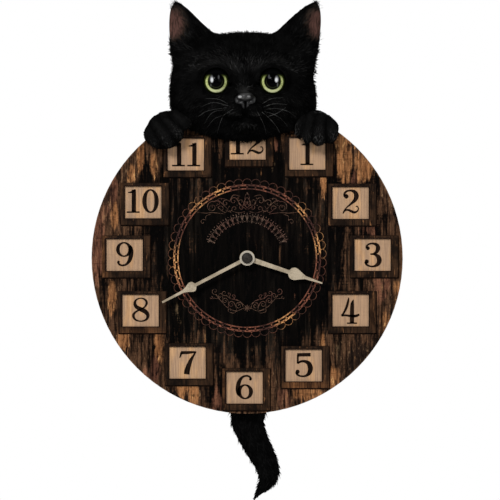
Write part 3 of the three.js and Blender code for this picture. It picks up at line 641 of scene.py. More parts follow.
SIX = [
    [6.0, 7.0, 0.9], [4.9, 9.4, 0.7], [2.0, 10.5, 0.7], [-1.9, 9.3, 0.85], [-4.9, 5.2, 1.5],
    [-6.1, -0.2, 1.7], [-5.9, -4.4, 1.6], [-4.6, -7.6, 1.1],
]
FIGURES = {
    "1": {
        "strokes": [
            [[0.3, 10.4, 1.65], [0.3, 0, 1.7], [0.3, -9.9, 1.7]],
            [[-6.2, -10.1, 0.5], [5.6, -10.1, 0.5]],
        ],
        "plates": [
            [[-5.2, 8.1], [-2.4, 8.9], [-0.6, 9.8], [0.6, 10.9], [1.9, 10.9], [0.6, 8.2], [-1.6, 7.3],
             [-5.0, 7.4]],
            [[-3.2, -9.9], [-1.6, -9.2], [0.3, -8.2], [2.2, -9.2], [3.8, -9.9]],
        ],
    },
    "2": {
        "strokes": [
            [
                [-5.0, 5.4, 1.3], [-5.6, 7.4, 0.8], [-3.9, 9.7, 0.7], [-0.2, 10.6, 0.7], [3.6, 9.3, 1.4],
                [5.3, 5.8, 1.9], [4.1, 2.0, 1.5], [0.4, -1.6, 0.75], [-3.6, -5.0, 0.4],
                [-6.2, -8.4, 0.35], [-6.9, -10.6, 0.35],
            ],
            [
                [-6.5, -9.8, 0.35], [-5.0, -7.7, 0.55], [-2.4, -7.2, 0.75], [0.6, -8.4, 0.95],
                [3.4, -9.4, 0.9], [6.0, -8.4, 0.55], [7.1, -6.2, 0.4], [6.3, -4.0, 0.35],
                [4.7, -4.0, 0.35],
            ],
        ],
        "dots": [[-3.9, 5.2, 2.1]],
    },
    "3": {
        "strokes": [
            [
                [-4.9, 6.2, 1.2], [-5.2, 8.2, 0.7], [-2.8, 10.1, 0.6], [0.8, 10.4, 0.8], [4.1, 8.9, 1.4],
                [5.0, 5.9, 1.7], [3.5, 2.5, 1.2], [0.4, 0.9, 0.6], [-2.0, 0.8, 0.5],
            ],
            [
                [-1.6, 0.8, 0.5], [2.2, 0.4, 0.8], [5.2, -1.8, 1.7], [6.2, -5.2, 1.9], [4.6, -8.7, 1.4],
                [1.0, -10.5, 0.7], [-2.8, -10.2, 0.6], [-5.6, -8.6, 0.8], [-6.2, -6.2, 1.2],
            ],
        ],
        "dots": [[-4.2, 6.1, 1.7], [-5.3, -6.0, 1.9]],
    },
    "4": {
        "strokes": [
            [[-1.7, 11.8, 0.3], [-2.2, 8.4, 0.8], [-3.9, 2.6, 0.9], [-6.4, -2.4, 0.7], [-8.4, -4.7, 0.6]],
            [[-8.4, -4.8, 0.6], [-4.6, -4.4, 0.7], [0, -5.0, 0.9], [4.6, -5.0, 1.0], [8.1, -3.6, 0.7]],
            [[2.6, 10.0, 0.15], [2.0, 8.0, 0.8], [1.5, 5.4, 1.4], [1.3, -2, 1.6], [1.3, -11.4, 1.65]],
            [[-3.4, -11.6, 0.45], [6.0, -11.6, 0.45]],
        ],
        "plates": [[[-2.2, -11.5], [-0.4, -10.8], [1.3, -9.8], [3.0, -10.8], [4.8, -11.5]]],
    },
    "5": {
        "strokes": [
            [[-5.9, 9.2, 1.3], [6.4, 9.4, 1.35]],
            [[-5.3, 9.4, 0.7], [-5.4, 1.2, 0.7]],
            [
                [-5.4, 1.3, 0.5], [-3.0, 3.0, 0.8], [0.8, 3.3, 1.0], [4.6, 1.4, 1.7], [6.2, -2.9, 2.0],
                [5.2, -7.3, 1.6], [1.9, -10.0, 0.8], [-2.4, -10.3, 0.6], [-5.6, -8.9, 0.8],
                [-6.6, -6.6, 1.1],
            ],
        ],
        "dots": [[-5.5, -6.2, 1.9]],
    },
    "6": {"strokes": [SIX], "rings": [[0.5, -4.1, 7.0, 6.7, 1.6, 0.5]], "dots": [[5.4, 7.4, 1.25]]},
    "7": {
        "strokes": [
            [[-7.0, 4.4, 0.25], [-6.2, 6.9, 0.6], [-5.4, 9.3, 0.9]],
            [[-5.9, 9.2, 1.15], [0, 9.3, 1.15], [7.7, 9.8, 0.6]],
            [
                [7.9, 10.2, 0.45], [5.2, 6.0, 0.8], [2.8, 1.6, 1.4], [0.9, -3.4, 1.9], [-0.3, -7.6, 2.2],
                [-0.7, -10.6, 2.25],
            ],
        ],
    },
    "8": {
        "loops": [
            [
                [0, 0.4, 1.7], [-3.8, 2.6, 1.4], [-5.3, 5.7, 1.1], [-3.9, 9.0, 0.6], [0.2, 10.5, 0.4],
                [4.3, 9.0, 0.7], [5.6, 5.9, 0.9], [3.8, 2.5, 0.6], [0, 0.2, 0.5], [-4.6, -2.2, 0.7],
                [-6.6, -5.4, 1.0], [-4.8, -9.1, 0.7], [0.2, -10.6, 0.45], [5.1, -9.1, 0.8],
                [6.7, -5.5, 1.3], [4.6, -2.0, 1.7],
            ]
        ],
    },
    "0": {"rings": [[0, 0, 7.3, 10.8, 1.75, 0.55]]},
}
FIGURES["9"] = {
    "strokes": [[[-x, -z, half] for x, z, half in SIX]],
    "rings": [[-0.5, 4.1, 7.0, 6.7, 1.4, 0.5]],
    "dots": [[-5.5, -7.2, 1.1]],
}
# How far each figure of a pair stands to the side, and how far a number stands above its tile's middle.
PAIR_PLACES = {"10": (-8.9, 6.7), "11": (-6.4, 7.6), "12": (-9.0, 7.0)}
RAISED = {"1": 0.4, "2": 0.9, "5": 0.6, "6": 0.4, "8": 0.9, "9": 1.0, "10": 1.2, "12": 1.0}
INK_WEIGHT, INK_SPREAD = 1.1, 0.13  # a stroke's half width as painted, over the one it is drawn with
INK_DEPTHS = (-0.1, 0.12)  # where the paint starts and ends, in front of its tile


def draw_figure(art, figure, x, z):
    shape = FIGURES[figure]
    lines = [(smooth_line(line), False) for line in shape.get("strokes", [])]
    lines += [(smooth_line(line, closed=True), True) for line in shape.get("loops", [])]
    lines += [(oval(*ring), True) for ring in shape.get("rings", [])]
    for line, closed in lines:
        art.strip(line * (1, 1, INK_WEIGHT) + (x, z, INK_SPREAD), closed)
    for dot_x, dot_z, radius in shape.get("dots", []):
        art.dot(x + dot_x, z + dot_z, radius)
    for edge in shape.get("plates", []):
        art.plate(np.array(edge) + (x, z))


INK = ink()
for hour in range(1, 13):
    low, high = cad(f"number_tile_{hour:02d}")
    middle = (low + high) / 2
    art = Flat(*(-low[1] + depth for depth in INK_DEPTHS))
    text = str(hour)
    for figure, shift in zip(text, PAIR_PLACES.get(text, (0,))):
        draw_figure(art, figure, middle[0] + shift, middle[2] + RAISED.get(text, 0))
    art.made(f"figure_{hour:02d}", INK, "black_plastic")


# ---------------------------------------------------------------- lacework and scrolls on the dial
def polar(radius, degrees):
    """x and z of a point that far from the hands' axis, clockwise from the top."""
    turn = np.radians(degrees)
    return np.stack([radius * np.sin(turn), radius * np.cos(turn)], -1)


def on_dial(thickness):
    """Artwork of that thickness, let in a little at its back so that no gap shows."""
    return Flat(DIAL_FRONT - 0.05, DIAL_FRONT + thickness)


LACE_LINE, LACE_BAND, LACE_TIPS = 63.5, 66.8, 72.6  # radii of its rule, its band and its loops' tips
LACE_LOOPS = 54
lace = on_dial(0.35)
around = np.linspace(0, 360, 181)[:-1]
for radius, half in ((LACE_LINE, 0.52), (LACE_BAND, 0.82)):
    ring = polar(np.full(len(around), radius), around)
    lace.strip(np.column_stack([ring, np.full(len(around), half)]), closed=True)
pitch = 360 / LACE_LOOPS
for i in range(LACE_LOOPS):
    middle = i * pitch
    # A waisted bar leaves an oval opening at each side of it.
    bar = [(LACE_LINE, 0.95), (0.5 * (LACE_LINE + LACE_BAND) - 0.2, 0.36), (LACE_BAND, 1.2)]
    lace.strip([[*polar(r, middle), w] for r, w in bar])
    loop = []
    for t in np.linspace(0, math.pi, 15):
        out = LACE_BAND + (LACE_TIPS - LACE_BAND) * math.sin(t) ** 0.8
        loop.append([*polar(out, middle - pitch * 0.54 * math.cos(t)), 0.24])
    lace.strip(loop)
lace.made("lace_ring", copper_print(), "stained_wood")

# In place of any wording: a row of small lilies along an arc, with two dots between each two.
LILY_LOW, LILY_TALL = 32.4, 9.2  # the radius of their feet, and their height
LILY_COUNT, LILY_FIRST, LILY_PITCH = 19, -64.8, 7.2  # degrees from the top
LILY = [
    [[0, 0.0, 0.16], [0, 0.35, 0.2], [0, 0.7, 0.4], [0, 1.0, 0.1]],
    [[-1.15, 0.20, 0.16], [1.15, 0.20, 0.16]],
]
for side in (-1, 1):
    petal_line = [(0, 0.22, 0.16), (0.7, 0.46, 0.17), (1.5, 0.74, 0.2), (1.9, 0.62, 0.12)]
    LILY.append([[side * x, z, half] for x, z, half in petal_line])
    LILY.append([[0, 0.20, 0.16], [side * 0.7, 0.02, 0.14]])
lilies = on_dial(0.18)
for i in range(LILY_COUNT):
    degrees = LILY_FIRST + LILY_PITCH * i
    for line in LILY:
        fine = smooth_line(line)
        turns = degrees + np.degrees(fine[:, 0] / (LILY_LOW + 0.5 * LILY_TALL))
        lilies.strip(np.column_stack([polar(LILY_LOW + LILY_TALL * fine[:, 1], turns), fine[:, 2]]))
    if i < LILY_COUNT - 1:
        for height, radius in ((0.12, 0.36), (0.94, 0.42)):
            lilies.dot(*polar(LILY_LOW + height * LILY_TALL, degrees + LILY_PITCH / 2), radius)
lilies.made("lily_row", faded_gilt("lily_gilt", (36, 27, 23), (104, 84, 72), (94, 63, 54)),
            "stained_wood")


def curl(x, z, start, turns, size, hand, half, tail=()):
    """A scroll that winds in on x, z from a first heading in degrees. The tail leads into it."""
    steps = max(10, int(abs(turns) * 26))
    t = np.linspace(0, 1, steps)
    radius = size * (1 - t) ** 0.85 + 0.25
    angle = np.radians(start) + hand * t * turns * math.tau
    line = np.stack([x + radius * np.cos(angle), z + radius * np.sin(angle), half * (1.15 - 0.5 * t)], 1)
    if len(tail):
        lead = np.vstack([np.array(tail, float), line[:1]])
        line = np.vstack([smooth_line(lead, per=8)[:-1], line])
    return line


# The scrollwork at the right. Curls over the hands rise to a crest in the middle, with a fine rule
# at each side; curls under them follow two long waves that meet at a flower.
SCROLLS = [
    curl(5.4, 51.6, 200, 1.1, 3.4, 1, 0.2, [[0, 60.6, 0.12], [1.8, 56.5, 0.2]]),
    curl(5.0, 46.2, 120, 1.0, 2.4, -1, 0.2, [[0, 50.0, 0.12], [1.5, 48.6, 0.18]]),
    curl(12.4, 52.4, 150, 1.2, 3.1, -1, 0.2, [[0.6, 44.6, 0.12], [5.4, 48.2, 0.2]]),
    curl(19.6, 50.4, 160, 1.15, 3.2, -1, 0.2, [[6.4, 56.6, 0.12], [12.6, 57.6, 0.2]]),
    curl(11.6, 45.2, 330, 1.0, 2.3, 1, 0.18, [[19.6, 44.2, 0.12], [16.4, 42.6, 0.18]]),
    curl(24.0, 45.2, 20, 1.1, 2.7, 1, 0.19, [[16.6, 47.2, 0.12], [20.0, 41.8, 0.18]]),
    curl(32.0, 46.8, 110, 1.35, 5.0, -1, 0.22, [[14.6, 41.4, 0.12], [21.4, 48.4, 0.2], [26.8, 52.8, 0.22]]),
    curl(32.4, 46.6, 290, 0.8, 2.4, 1, 0.16),
    curl(27.0, 50.0, 60, 0.9, 2.0, 1, 0.16, [[20.4, 54.2, 0.12], [25.4, 54.6, 0.18]]),
    smooth_line([[20.0, 40.4, 0.12], [31.0, 41.6, 0.2], [38.0, 41.2, 0.2], [46.0, 42.0, 0.1]], per=8),
    smooth_line([[0.2, 46.0, 0.18], [3.2, 50.4, 0.2], [0.3, 55.6, 0.18]], per=8),
    smooth_line([[2.0, 42.6, 0.12], [8.0, 41.4, 0.2], [14.0, 43.2, 0.12]], per=8),
    curl(40.4, 33.0, 150, 0.9, 2.6, -1, 0.17, [[33.0, 40.4, 0.12], [37.6, 38.4, 0.18]]),
    curl(29.4, -30.4, 250, 1.15, 3.0, 1, 0.22,
         [[3.0, -45.6, 0.15], [10.0, -48.4, 0.24], [17.6, -45.6, 0.26], [23.6, -39.6, 0.26],
          [27.4, -35.0, 0.24]]),
    curl(20.8, -32.0, 230, 1.1, 2.4, 1, 0.2, [[3.0, -42.8, 0.15], [8.4, -38.6, 0.22], [15.4, -37.0, 0.24]]),
    curl(7.6, -43.6, 60, 1.15, 2.7, -1, 0.22, [[3.0, -46.8, 0.15], [5.2, -41.4, 0.2]]),
    curl(14.4, -42.4, 100, 1.15, 2.6, -1, 0.2, [[9.6, -47.6, 0.15], [11.6, -41.6, 0.2]]),
    curl(20.2, -39.2, 110, 1.1, 2.3, -1, 0.2, [[17.2, -45.2, 0.15], [17.4, -39.4, 0.2]]),
    curl(24.6, -34.6, 120, 1.0, 2.0, -1, 0.18, [[22.8, -40.2, 0.15], [22.4, -35.4, 0.18]]),
    curl(12.2, -35.4, 40, 0.9, 1.7, 1, 0.17, [[7.4, -39.4, 0.12], [11.0, -38.0, 0.17]]),
    curl(16.6, -33.6, 60, 0.9, 1.5, 1, 0.16, [[13.6, -37.4, 0.12], [15.6, -36.4, 0.16]]),
    curl(15.6, -47.6, 300, 0.9, 1.8, 1, 0.17, [[9.6, -48.6, 0.12], [12.4, -50.4, 0.18]]),
    curl(32.6, -35.6, 330, 0.8, 1.5, -1, 0.16, [[26.4, -37.2, 0.12]]),
]
BEADS = ((9.2, 48.4), (16.4, 47.4), (28.0, 48.2), (23.4, 54.0), (8.6, 54.8), (38.6, 50.6))
FLOWER_Z = -45.8
scrolls = on_dial(0.18)
for line in SCROLLS:
    for side in (1, -1):
        scrolls.strip(line * (side, 1, 1))
scrolls.dot(0, 50.9, 0.6, 1.1)
scrolls.dot(0, 58.8, 0.5, 0.8)
for x, z in BEADS:
    for side in (1, -1):
        scrolls.dot(side * x, z, 0.36)
for petal in range(8):
    turn = math.radians(petal * 45)
    petal_line = ((0.8, 0.2), (1.9, 0.36), (3.2, 0.1))
    scrolls.strip([[math.cos(turn) * r, FLOWER_Z + math.sin(turn) * r, half] for r, half in petal_line])
scrolls.dot(0, FLOWER_Z, 0.6)
scrolls.made("dial_scrolls", faded_gilt("scroll_gilt", (28, 20, 17), (98, 74, 60), (86, 54, 47)),
             "stained_wood")

# ---------------------------------------------------------------- painted shadows round the tiles and frames
FRAME_FRONT = -cad("number_frame_12")[0][1]
frame_shadow = Flat(DIAL_FRONT, DIAL_FRONT + 0.04)
tile_shadow = Flat(FRAME_FRONT - 0.05, FRAME_FRONT + 0.03)
# Painted shadow in dark strips: on the dial, wider at each frame's right and bottom, and in each frame's
# window, wider at the tile's top and left, as a light from the upper left would throw it.
for hour in range(1, 13):
    low, high = cad(f"number_frame_{hour:02d}")
    for x, wide in ((low[0], 0.45), (high[0], 0.9)):
        frame_shadow.strip([[x, z, wide] for z in (low[2] - 0.6, high[2])])
    for z, wide in ((high[2], 0.4), (low[2], 1.2)):
        frame_shadow.strip([[x, z, wide] for x in (low[0], high[0] + 0.6)])
    low, high = cad(f"number_tile_{hour:02d}")
    for x, wide in ((low[0], -1.5), (high[0], 0.7)):
        tile_shadow.strip([[x + 0.5 * wide, z, 0.5 * abs(wide)] for z in (low[2] - 0.5, high[2] + 1.3)])
    for z, wide in ((high[2], 1.3), (low[2], -0.6)):
        tile_shadow.strip([[x, z + 0.5 * wide, 0.5 * abs(wide)] for x in (low[0], high[0])])
PAINTED_SHADOW = speckled("painted_shadow", (5, 3, 2), (34, 20, 13), (400, 90, 160), 0.6, 0.8, 0.00003,
                Specular_IOR_Level=0.05)
frame_shadow.made("dial_painted_shadow", PAINTED_SHADOW, "stained_wood")
tile_shadow.made("tile_painted_shadow", PAINTED_SHADOW, "stained_wood")


# ---------------------------------------------------------------- solid shapes
# A shape is a function of x, forward and z, in arrays, that is about the distance to its skin and
# negative inside. Forward is the distance in front of the wall.
def ellipsoid(p, centre, radii):
    q = [(a - c) / r for a, c, r in zip(p, centre, radii)]
    near = np.sqrt(sum(a * a for a in q))
    steep = np.sqrt(sum((a / r) ** 2 for a, r in zip(q, radii)))
    return near * (near - 1) / np.maximum(steep, 1e-9)


def capsule(p, a, b, start, end):
    """A rod with round ends from a to b, whose radius goes from start to end."""
    a, b = np.array(a, float), np.array(b, float)
    axis = b - a
    t = sum((c - a[i]) * axis[i] for i, c in enumerate(p)) / (axis @ axis)
    t = np.clip(t, 0, 1)
    away = np.sqrt(sum((c - a[i] - t * axis[i]) ** 2 for i, c in enumerate(p)))
    return away - (start + (end - start) * t)


def slab(edge, forward, front, soft):
    """A plate inside an outline, up to a front face, whose front edge is rounded off."""
    near, out = edge + soft, forward - front + soft
    corner = np.hypot(np.maximum(near, 0), np.maximum(out, 0))
    return corner + np.minimum(np.maximum(near, out), 0) - soft


def join(a, b, soft):
    share = np.clip(0.5 + 0.5 * (b - a) / soft, 0, 1)
    return b + (a - b) * share - soft * share * (1 - share)


def carve(a, b, soft):
    return -join(-a, b, soft)


def less_room(shape, p, node):
    """A shape cut away round a node, from the wall to a little in front of it."""
    low, high = cad(node)
    low, high = (low[0] - GAP, 0, low[2] - GAP), (high[0] + GAP, GAP - low[1], high[2] + GAP)
    room = np.maximum.reduce([np.maximum(low[i] - c, c - high[i]) for i, c in enumerate(p)])
    return np.maximum(shape, -room)


def over_dial(shape, p, hours):
    """A shape cut away where the dial and the number frames of those hours stand."""
    x, forward, z = p
    disc = np.maximum(np.sqrt(x * x + z * z) - DIAL_RADIUS - GAP, forward - DIAL_FRONT - GAP)
    shape = np.maximum(shape, -disc)
    for hour in hours:
        shape = less_room(shape, p, f"number_frame_{hour:02d}")
    return shape


class Outline:
    """Distance in x and z from a smooth closed line, negative inside it, read off a fine grid."""

    STEP, MARGIN = 0.5, 14

    def __init__(self, points):
        line = smooth_line(points, closed=True)
        self.low = line.min(0) - self.MARGIN
        counts = ((line.max(0) + self.MARGIN - self.low) / self.STEP).astype(int) + 2
        axes = (self.low[i] + self.STEP * np.arange(counts[i]) for i in (0, 1))
        x, z = np.meshgrid(*axes, indexing="ij")
        nearest, inside = np.full(x.shape, 1e9), np.zeros(x.shape, bool)
        for (ax, az), (bx, bz) in zip(line, np.roll(line, -1, 0)):
            dx, dz = bx - ax, bz - az
            t = np.clip(((x - ax) * dx + (z - az) * dz) / max(dx * dx + dz * dz, 1e-9), 0, 1)
            nearest = np.minimum(nearest, (x - ax - t * dx) ** 2 + (z - az - t * dz) ** 2)
            if dz:
                inside ^= ((az > z) != (bz > z)) & (x < ax + (z - az) * dx / dz)
        self.grid = np.where(inside, -1, 1) * np.sqrt(nearest)

    def __call__(self, x, z):
        u = np.clip((x - self.low[0]) / self.STEP, 0, self.grid.shape[0] - 1.001)
        v = np.clip((z - self.low[1]) / self.STEP, 0, self.grid.shape[1] - 1.001)
        i, j = u.astype(int), v.astype(int)
        u, v, g = u - i, v - j, self.grid
        near = g[i, j] * (1 - v) + g[i, j + 1] * v
        far = g[i + 1, j] * (1 - v) + g[i + 1, j + 1] * v
        return near * (1 - u) + far * u


def slope(shape, points, reach=0.25):
    """The direction straight out of a shape at each point."""
    parts = []
    for axis in range(3):
        shift = np.zeros(3)
        shift[axis] = reach
        parts.append((shape(*(points + shift).T) - shape(*(points - shift).T)) / (2 * reach))
    return np.stack(parts, 1)


def skin_of(shape, low, high, step):
    """The shape's skin as (points, quads, outward normals), in x, forward and z."""
    low, high = np.array(low, float) - 2 * step, np.array(high, float) + 3 * step
    axes = [np.arange(a, b, step) for a, b in zip(low, high)]
    value = shape(*np.meshgrid(*axes, indexing="ij"))
    inside = value < 0
    cells = tuple(n - 1 for n in value.shape)
    total, count = np.zeros(cells + (3,)), np.zeros(cells)
    crossings = []
    for axis in range(3):
        u, v = (axis + 1) % 3, (axis + 2) % 3
        here = tuple(slice(None, -1) if i == axis else slice(None) for i in range(3))
        there = tuple(slice(1, None) if i == axis else slice(None) for i in range(3))
        at = np.argwhere(inside[here] != inside[there])
        a, b = value[here][tuple(at.T)], value[there][tuple(at.T)]
        point = at.astype(float)
        point[:, axis] += a / (a - b)
        corners = []
        for du, dv in ((0, 0), (1, 0), (1, 1), (0, 1)):
            cell = at.copy()
            cell[:, u] -= du
            cell[:, v] -= dv
            corners.append(cell)
            np.add.at(total, tuple(cell.T), point)
            np.add.at(count, tuple(cell.T), 1)
        crossings.append((corners, a < 0))
    used = np.argwhere(count > 0)
    number = np.full(cells, -1)
    number[tuple(used.T)] = np.arange(len(used))
    points = total[tuple(used.T)] / count[tuple(used.T)][:, None] * step + low
    quads = []
    for corners, outward in crossings:
        quad = np.stack([number[tuple(c.T)] for c in corners], 1)
        quads.append(np.where(outward[:, None], quad[:, ::-1], quad))
    for _ in range(3):  # draw the points onto the skin itself
        steep = slope(shape, points)
        move = shape(*points.T) / np.maximum((steep**2).sum(1), 0.2)
        points = points - np.clip(move, -step, step)[:, None] * steep
    return points, np.vstack(quads), unit(slope(shape, points))


# ---------------------------------------------------------------- the cat's head
HEAD_LOW, HEAD_HIGH = cad("cat_head")
HEAD_BACK = -HEAD_HIGH[1]
FACE_X = -2.5  # the face's middle line
EYES = {side: sum(cad(f"eye_{side}")) / 2 for side in ("left", "right")}
EYE_OUT = (EYES["right"][0] - EYES["left"][0]) / 2
EYE_FORWARD, EYE_RADIUS = 46.5, 13  # where the eyeballs' middles are, and their size
SOCKET_Z = 161.2  # the height of the sockets' middles
# The head's outline, and the middles of the ears' hollows, in x and z.
HEAD_EDGE = Outline(
    [
        [-65.0, 234.4], [-69.2, 230.6], [-71.0, 222], [-71.4, 210], [-70.2, 194.4], [-68.4, 183.8],
        [-67.2, 175.4], [-68.2, 168], [-69.3, 158], [-69.8, 146], [-68.4, 137], [-63.5, 127],
        [-54, 118.6], [-42.4, 114.6], [-29.8, 111], [-17, 108.3], [-2.4, 106.8], [8, 107.5], [18, 109.8],
        [28, 113.0], [38, 116.4], [46, 119.5], [55.5, 127], [61.4, 136.5], [62.2, 146], [61.0, 156],
        [60.0, 167], [61.2, 176], [62.8, 184], [64.9, 194.4], [66.9, 207], [67.6, 218], [66.6, 229],
        [63.2, 234.8], [58.5, 233.4], [50.2, 228.2], [41.8, 221.4], [33.3, 213.4], [27, 207.8],
        [20.5, 205.2], [12, 205.9], [0, 206.4], [-13, 205.9], [-24, 204.8], [-31, 206.6], [-37.2, 211.4],
        [-42.6, 216.4], [-48.9, 222.8], [-55, 228.6], [-60.2, 232.6],
    ]
)
EAR_HOLLOWS = ((-68.0, 214.0), (66.0, 214.0))


def ear_hollow(x, forward, z):
    """The open hollow at the outer side of both ears."""
    both = [ellipsoid((x, forward, z), (ear[0], 41, ear[1]), (12.5, 10, 19)) for ear in EAR_HOLLOWS]
    return np.minimum(*both)


def head_shape(x, forward, z):
    """The head in one piece, built up from blobs and then carved."""
    u = x - FACE_X
    wide = np.abs(u)
    p, q = (u, forward, z), (wide, forward, z)
    edge = HEAD_EDGE(x, z)
    # Skull and jaw, cheeks, a plate of the whole outline that is thinner towards the tips of the
    # ears, the ears' ridges, the brows, and the bridge of the nose.
    head = join(ellipsoid(p, (0, 27, 165), (62, 25.5, 40)), ellipsoid(p, (0, 27, 141), (58, 24, 31)), 12)
    head = join(head, ellipsoid(q, (36, 33, 142), (24, 14, 19)), 10)
    rise = np.clip((z - 196) / 40, 0, 1)
    head = join(head, slab(edge, forward, 39 - 7 * rise * rise * (3 - 2 * rise), 8), 7)
    head = join(head, capsule(q, (44, 31, 200), (60, 27, 222), 11, 6), 7)
    head = join(head, ellipsoid(q, (21, 42, 176.5), (19, 9, 8)), 7)
    head = join(head, capsule(p, (0, 44, 174), (0, 53.2, 150.5), 8.5, 6.4), 8)
    # The rings round the eyes, the muzzle, and the chin.
    for side in (-1, 1):
        head = join(head, ellipsoid(p, (side * EYE_OUT, EYE_FORWARD, 162), (15.6, 13.4, 15.0)), 4)
    head = join(head, ellipsoid(q, (9.8, 48.6, 135.2), (12.5, 10.6, 8.6)), 3.5)
    head = join(head, ellipsoid(p, (0, 44.5, 120.8), (11.5, 11.2, 6.6)), 2.5)
    # The line under the nose, the mouth, and the openings and inner corners of the eyes.
    head = carve(head, capsule(p, (0, 61.6, 139.5), (0, 58.6, 129.5), 1.4, 1.5), 1.4)
    head = carve(head, capsule(q, (0.5, 56.4, 127.6), (9.5, 55.2, 126.4), 2.3, 1.9), 1.4)
    head = carve(head, capsule(q, (9.5, 55.2, 126.4), (21.0, 48.4, 127.6), 1.9, 0.9), 1.4)
    for side in (-1, 1):
        opening = np.sqrt((u - side * EYE_OUT) ** 2 + (z - 160.9) ** 2) - 12.0
        corner = ellipsoid(p, (side * (EYE_OUT - 10.6), 52, 157.8), (5.0, 9, 1.7))
        head = carve(head, join(np.maximum(opening, 44 - forward), corner, 2), 1.4)
        head = carve(head, ellipsoid(p, (side * EYE_OUT, EYE_FORWARD, SOCKET_Z), (12.8, 12.8, 12.8)), 0.4)
    head = carve(head, ear_hollow(x, forward, z), 4)
    # Behind it: flat, and cut to lie over the dial and the three upper frames.
    head = np.maximum(np.maximum(head, edge), HEAD_BACK - forward)
    return over_dial(head, (x, forward, z), (11, 12, 1))


STEP = 1.1
head_points, head_quads, head_normals = skin_of(
    head_shape, (HEAD_LOW[0], HEAD_BACK, HEAD_LOW[2]), (HEAD_HIGH[0], 63, HEAD_HIGH[2]), STEP
)


def bareness(points):
    """How far each point of the head is bare ear rather than fur."""
    share = np.zeros(len(points))
    for x, z in EAR_HOLLOWS:
        away = np.hypot((points[:, 0] - x) / 17.0, (points[:, 2] - z) / 21.5)
        share = np.maximum(share, np.clip((1 - away) / 0.6, 0, 1))
    return share * np.clip((points[:, 1] - 22) / 3, 0, 1)


def bell(value, middle, half):
    """1 where value is at its middle, fading to both sides."""
    return np.exp(-(((value - middle) / half) ** 2))


def spot(x, z, centre, half):
    """A soft round spot, 1 at its centre."""
    return np.exp(-(((x - centre[0]) / half[0]) ** 2) - (((z - centre[1]) / half[1]) ** 2))


def mouth_line(u, z):
    """How near each point is to the mouth and to the line under the nose."""
    mouth = bell(z - 126.9 - 0.004 * u * u, 0, 2.1) * np.clip((23 - np.abs(u)) / 6, 0, 1)
    return np.maximum(mouth, spot(u, z, (0.8, 133.0), (1.2, 5.5)))


def face_tone(points):
    """Painted sheen: how light the strands' tips are, in arcs over the eyes, on the bridge of the nose, the
    muzzle and chin, and faintly on the cheeks and ears, with less of it along the mouth and the line under
    the nose.
    """
    u, z = points[:, 0] - FACE_X, points[:, 2]
    wide = np.abs(u)
    from_eye = np.hypot((wide - EYE_OUT) * 0.86, z - 161.5)
    brow = bell(from_eye, 17.0, 2.8) * np.clip((z - 168) / 5, 0, 1)
    fan = bell(from_eye, 23.0, 4.5) * np.clip((z - 164) / 8, 0, 1)
    light = 0.085 * brow + 0.035 * fan
    light += 0.03 * spot(wide, z, (7.5, 174), (3.0, 6.0)) + 0.20 * spot(u, z, (1.0, 151.5), (6.5, 4.0))
    light += 0.09 * spot(wide, z, (10.0, 130.6), (6.5, 2.0)) + 0.07 * spot(u, z, (2.0, 120.8), (8.0, 2.8))
    light += 0.03 * spot(wide, z, (26, 141), (18, 8)) + 0.04 * spot(wide, z, (54, 200), (7, 14))
    return (0.010 + 0.9 * light) * (1 - 0.96 * mouth_line(u, z))


in_front = head_points[:, 1] > HEAD_BACK + 3
# The skin under the fur takes a weaker copy of the painted sheen, on its front only.
head = piece(
    "cat_head_relief", "clock_body", framed(head_points), [head_quads], *FUR, skin=bareness(head_points),
    tone=0.4 * np.maximum(face_tone(head_points) - 0.03, 0) * in_front,
)
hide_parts("cat_head")


# ---------------------------------------------------------------- fur
def clumps(points, size, seed):
    """A smooth random value for each point, from -1 to 1, that changes over about that many mm."""
    waves = np.random.default_rng(seed)
    total = np.zeros(len(points))
    for _ in range(6):
        direction = waves.normal(size=3)
        direction /= np.linalg.norm(direction) * size
        total += np.sin(points @ direction * math.tau / 1.6 + waves.uniform(0, math.tau))
    return total / 3


# A strand's sections, as (share of its length, share of its width); the last one is its tip.
SECTIONS = ((0.0, 1.0), (0.36, 0.95), (0.72, 0.6), (1.0, 0.0))


def fur(name, body, points, normals, flow, length, width, tone, lift, bend=0.35):
    """Tapered strands rooted at the points. Flow is each strand's direction, length and width are in
    mm, and tone is how light its tip is. Each is an array of one value a strand."""
    n = len(points)
    flow = flow + 0.28 * chance.normal(size=(n, 3))
    flow = unit(flow - (flow * normals).sum(1)[:, None] * normals)
    side = np.cross(normals, flow)
    sway = chance.normal(size=(n, 1)) * bend
    rows, shade = [], []
    for share, thick in SECTIONS:
        up = lift * (share - 0.75 * share**2) * length
        centre = points + flow * (length * share)[:, None] + normals * (up - 0.35 * (1 - share))[:, None]
        centre = centre + side * sway * (length * share**2 * 0.35)[:, None]
        for turn in np.radians((90, 210, 330) if thick else (0,)):
            offset = math.cos(turn) * side + 0.7 * math.sin(turn) * normals
            rows.append(centre + offset * (width * thick)[:, None])
            shade.append(tone * (0.25 + 0.75 * share))
    vertices = np.stack(rows, 1).reshape(-1, 3)
    shades = np.stack(shade, 1).reshape(-1)
    base = np.arange(n)[:, None] * 10
    quads = np.vstack([base + quad for quad in tube(3, 3)])
    tips = np.vstack([base + (6 + k, 6 + (k + 1) % 3, 9) for k in range(3)])
    piece(name, body, framed(vertices), [quads[:, ::-1], tips[:, ::-1]], *FUR,
          tone=np.clip(shades, 0, 1), skin=np.zeros(len(vertices)))


def rooted(points, normals, count, keep):
    """Random roots among a skin's points, more of them where keep is high: (points, normals)."""
    keep = np.maximum(keep, 0)
    count = min(count, int((keep > 0).sum() * 0.9))
    chosen = chance.choice(len(points), count, replace=False, p=keep / keep.sum())
    jitter = chance.normal(size=(count, 3)) * 0.5 * STEP
    jitter -= (jitter * normals[chosen]).sum(1)[:, None] * normals[chosen]
    return points[chosen] + jitter, normals[chosen]


def each(roots, low=0, high=1):
    """A random value from low to high for each root."""
    return chance.uniform(low, high, len(roots))


def level_flow(x, z):
    """Directions from their x and z, each an array or one number."""
    x, z = np.broadcast_arrays(x, z)
    return np.stack([x, 0 * x, z], 1)


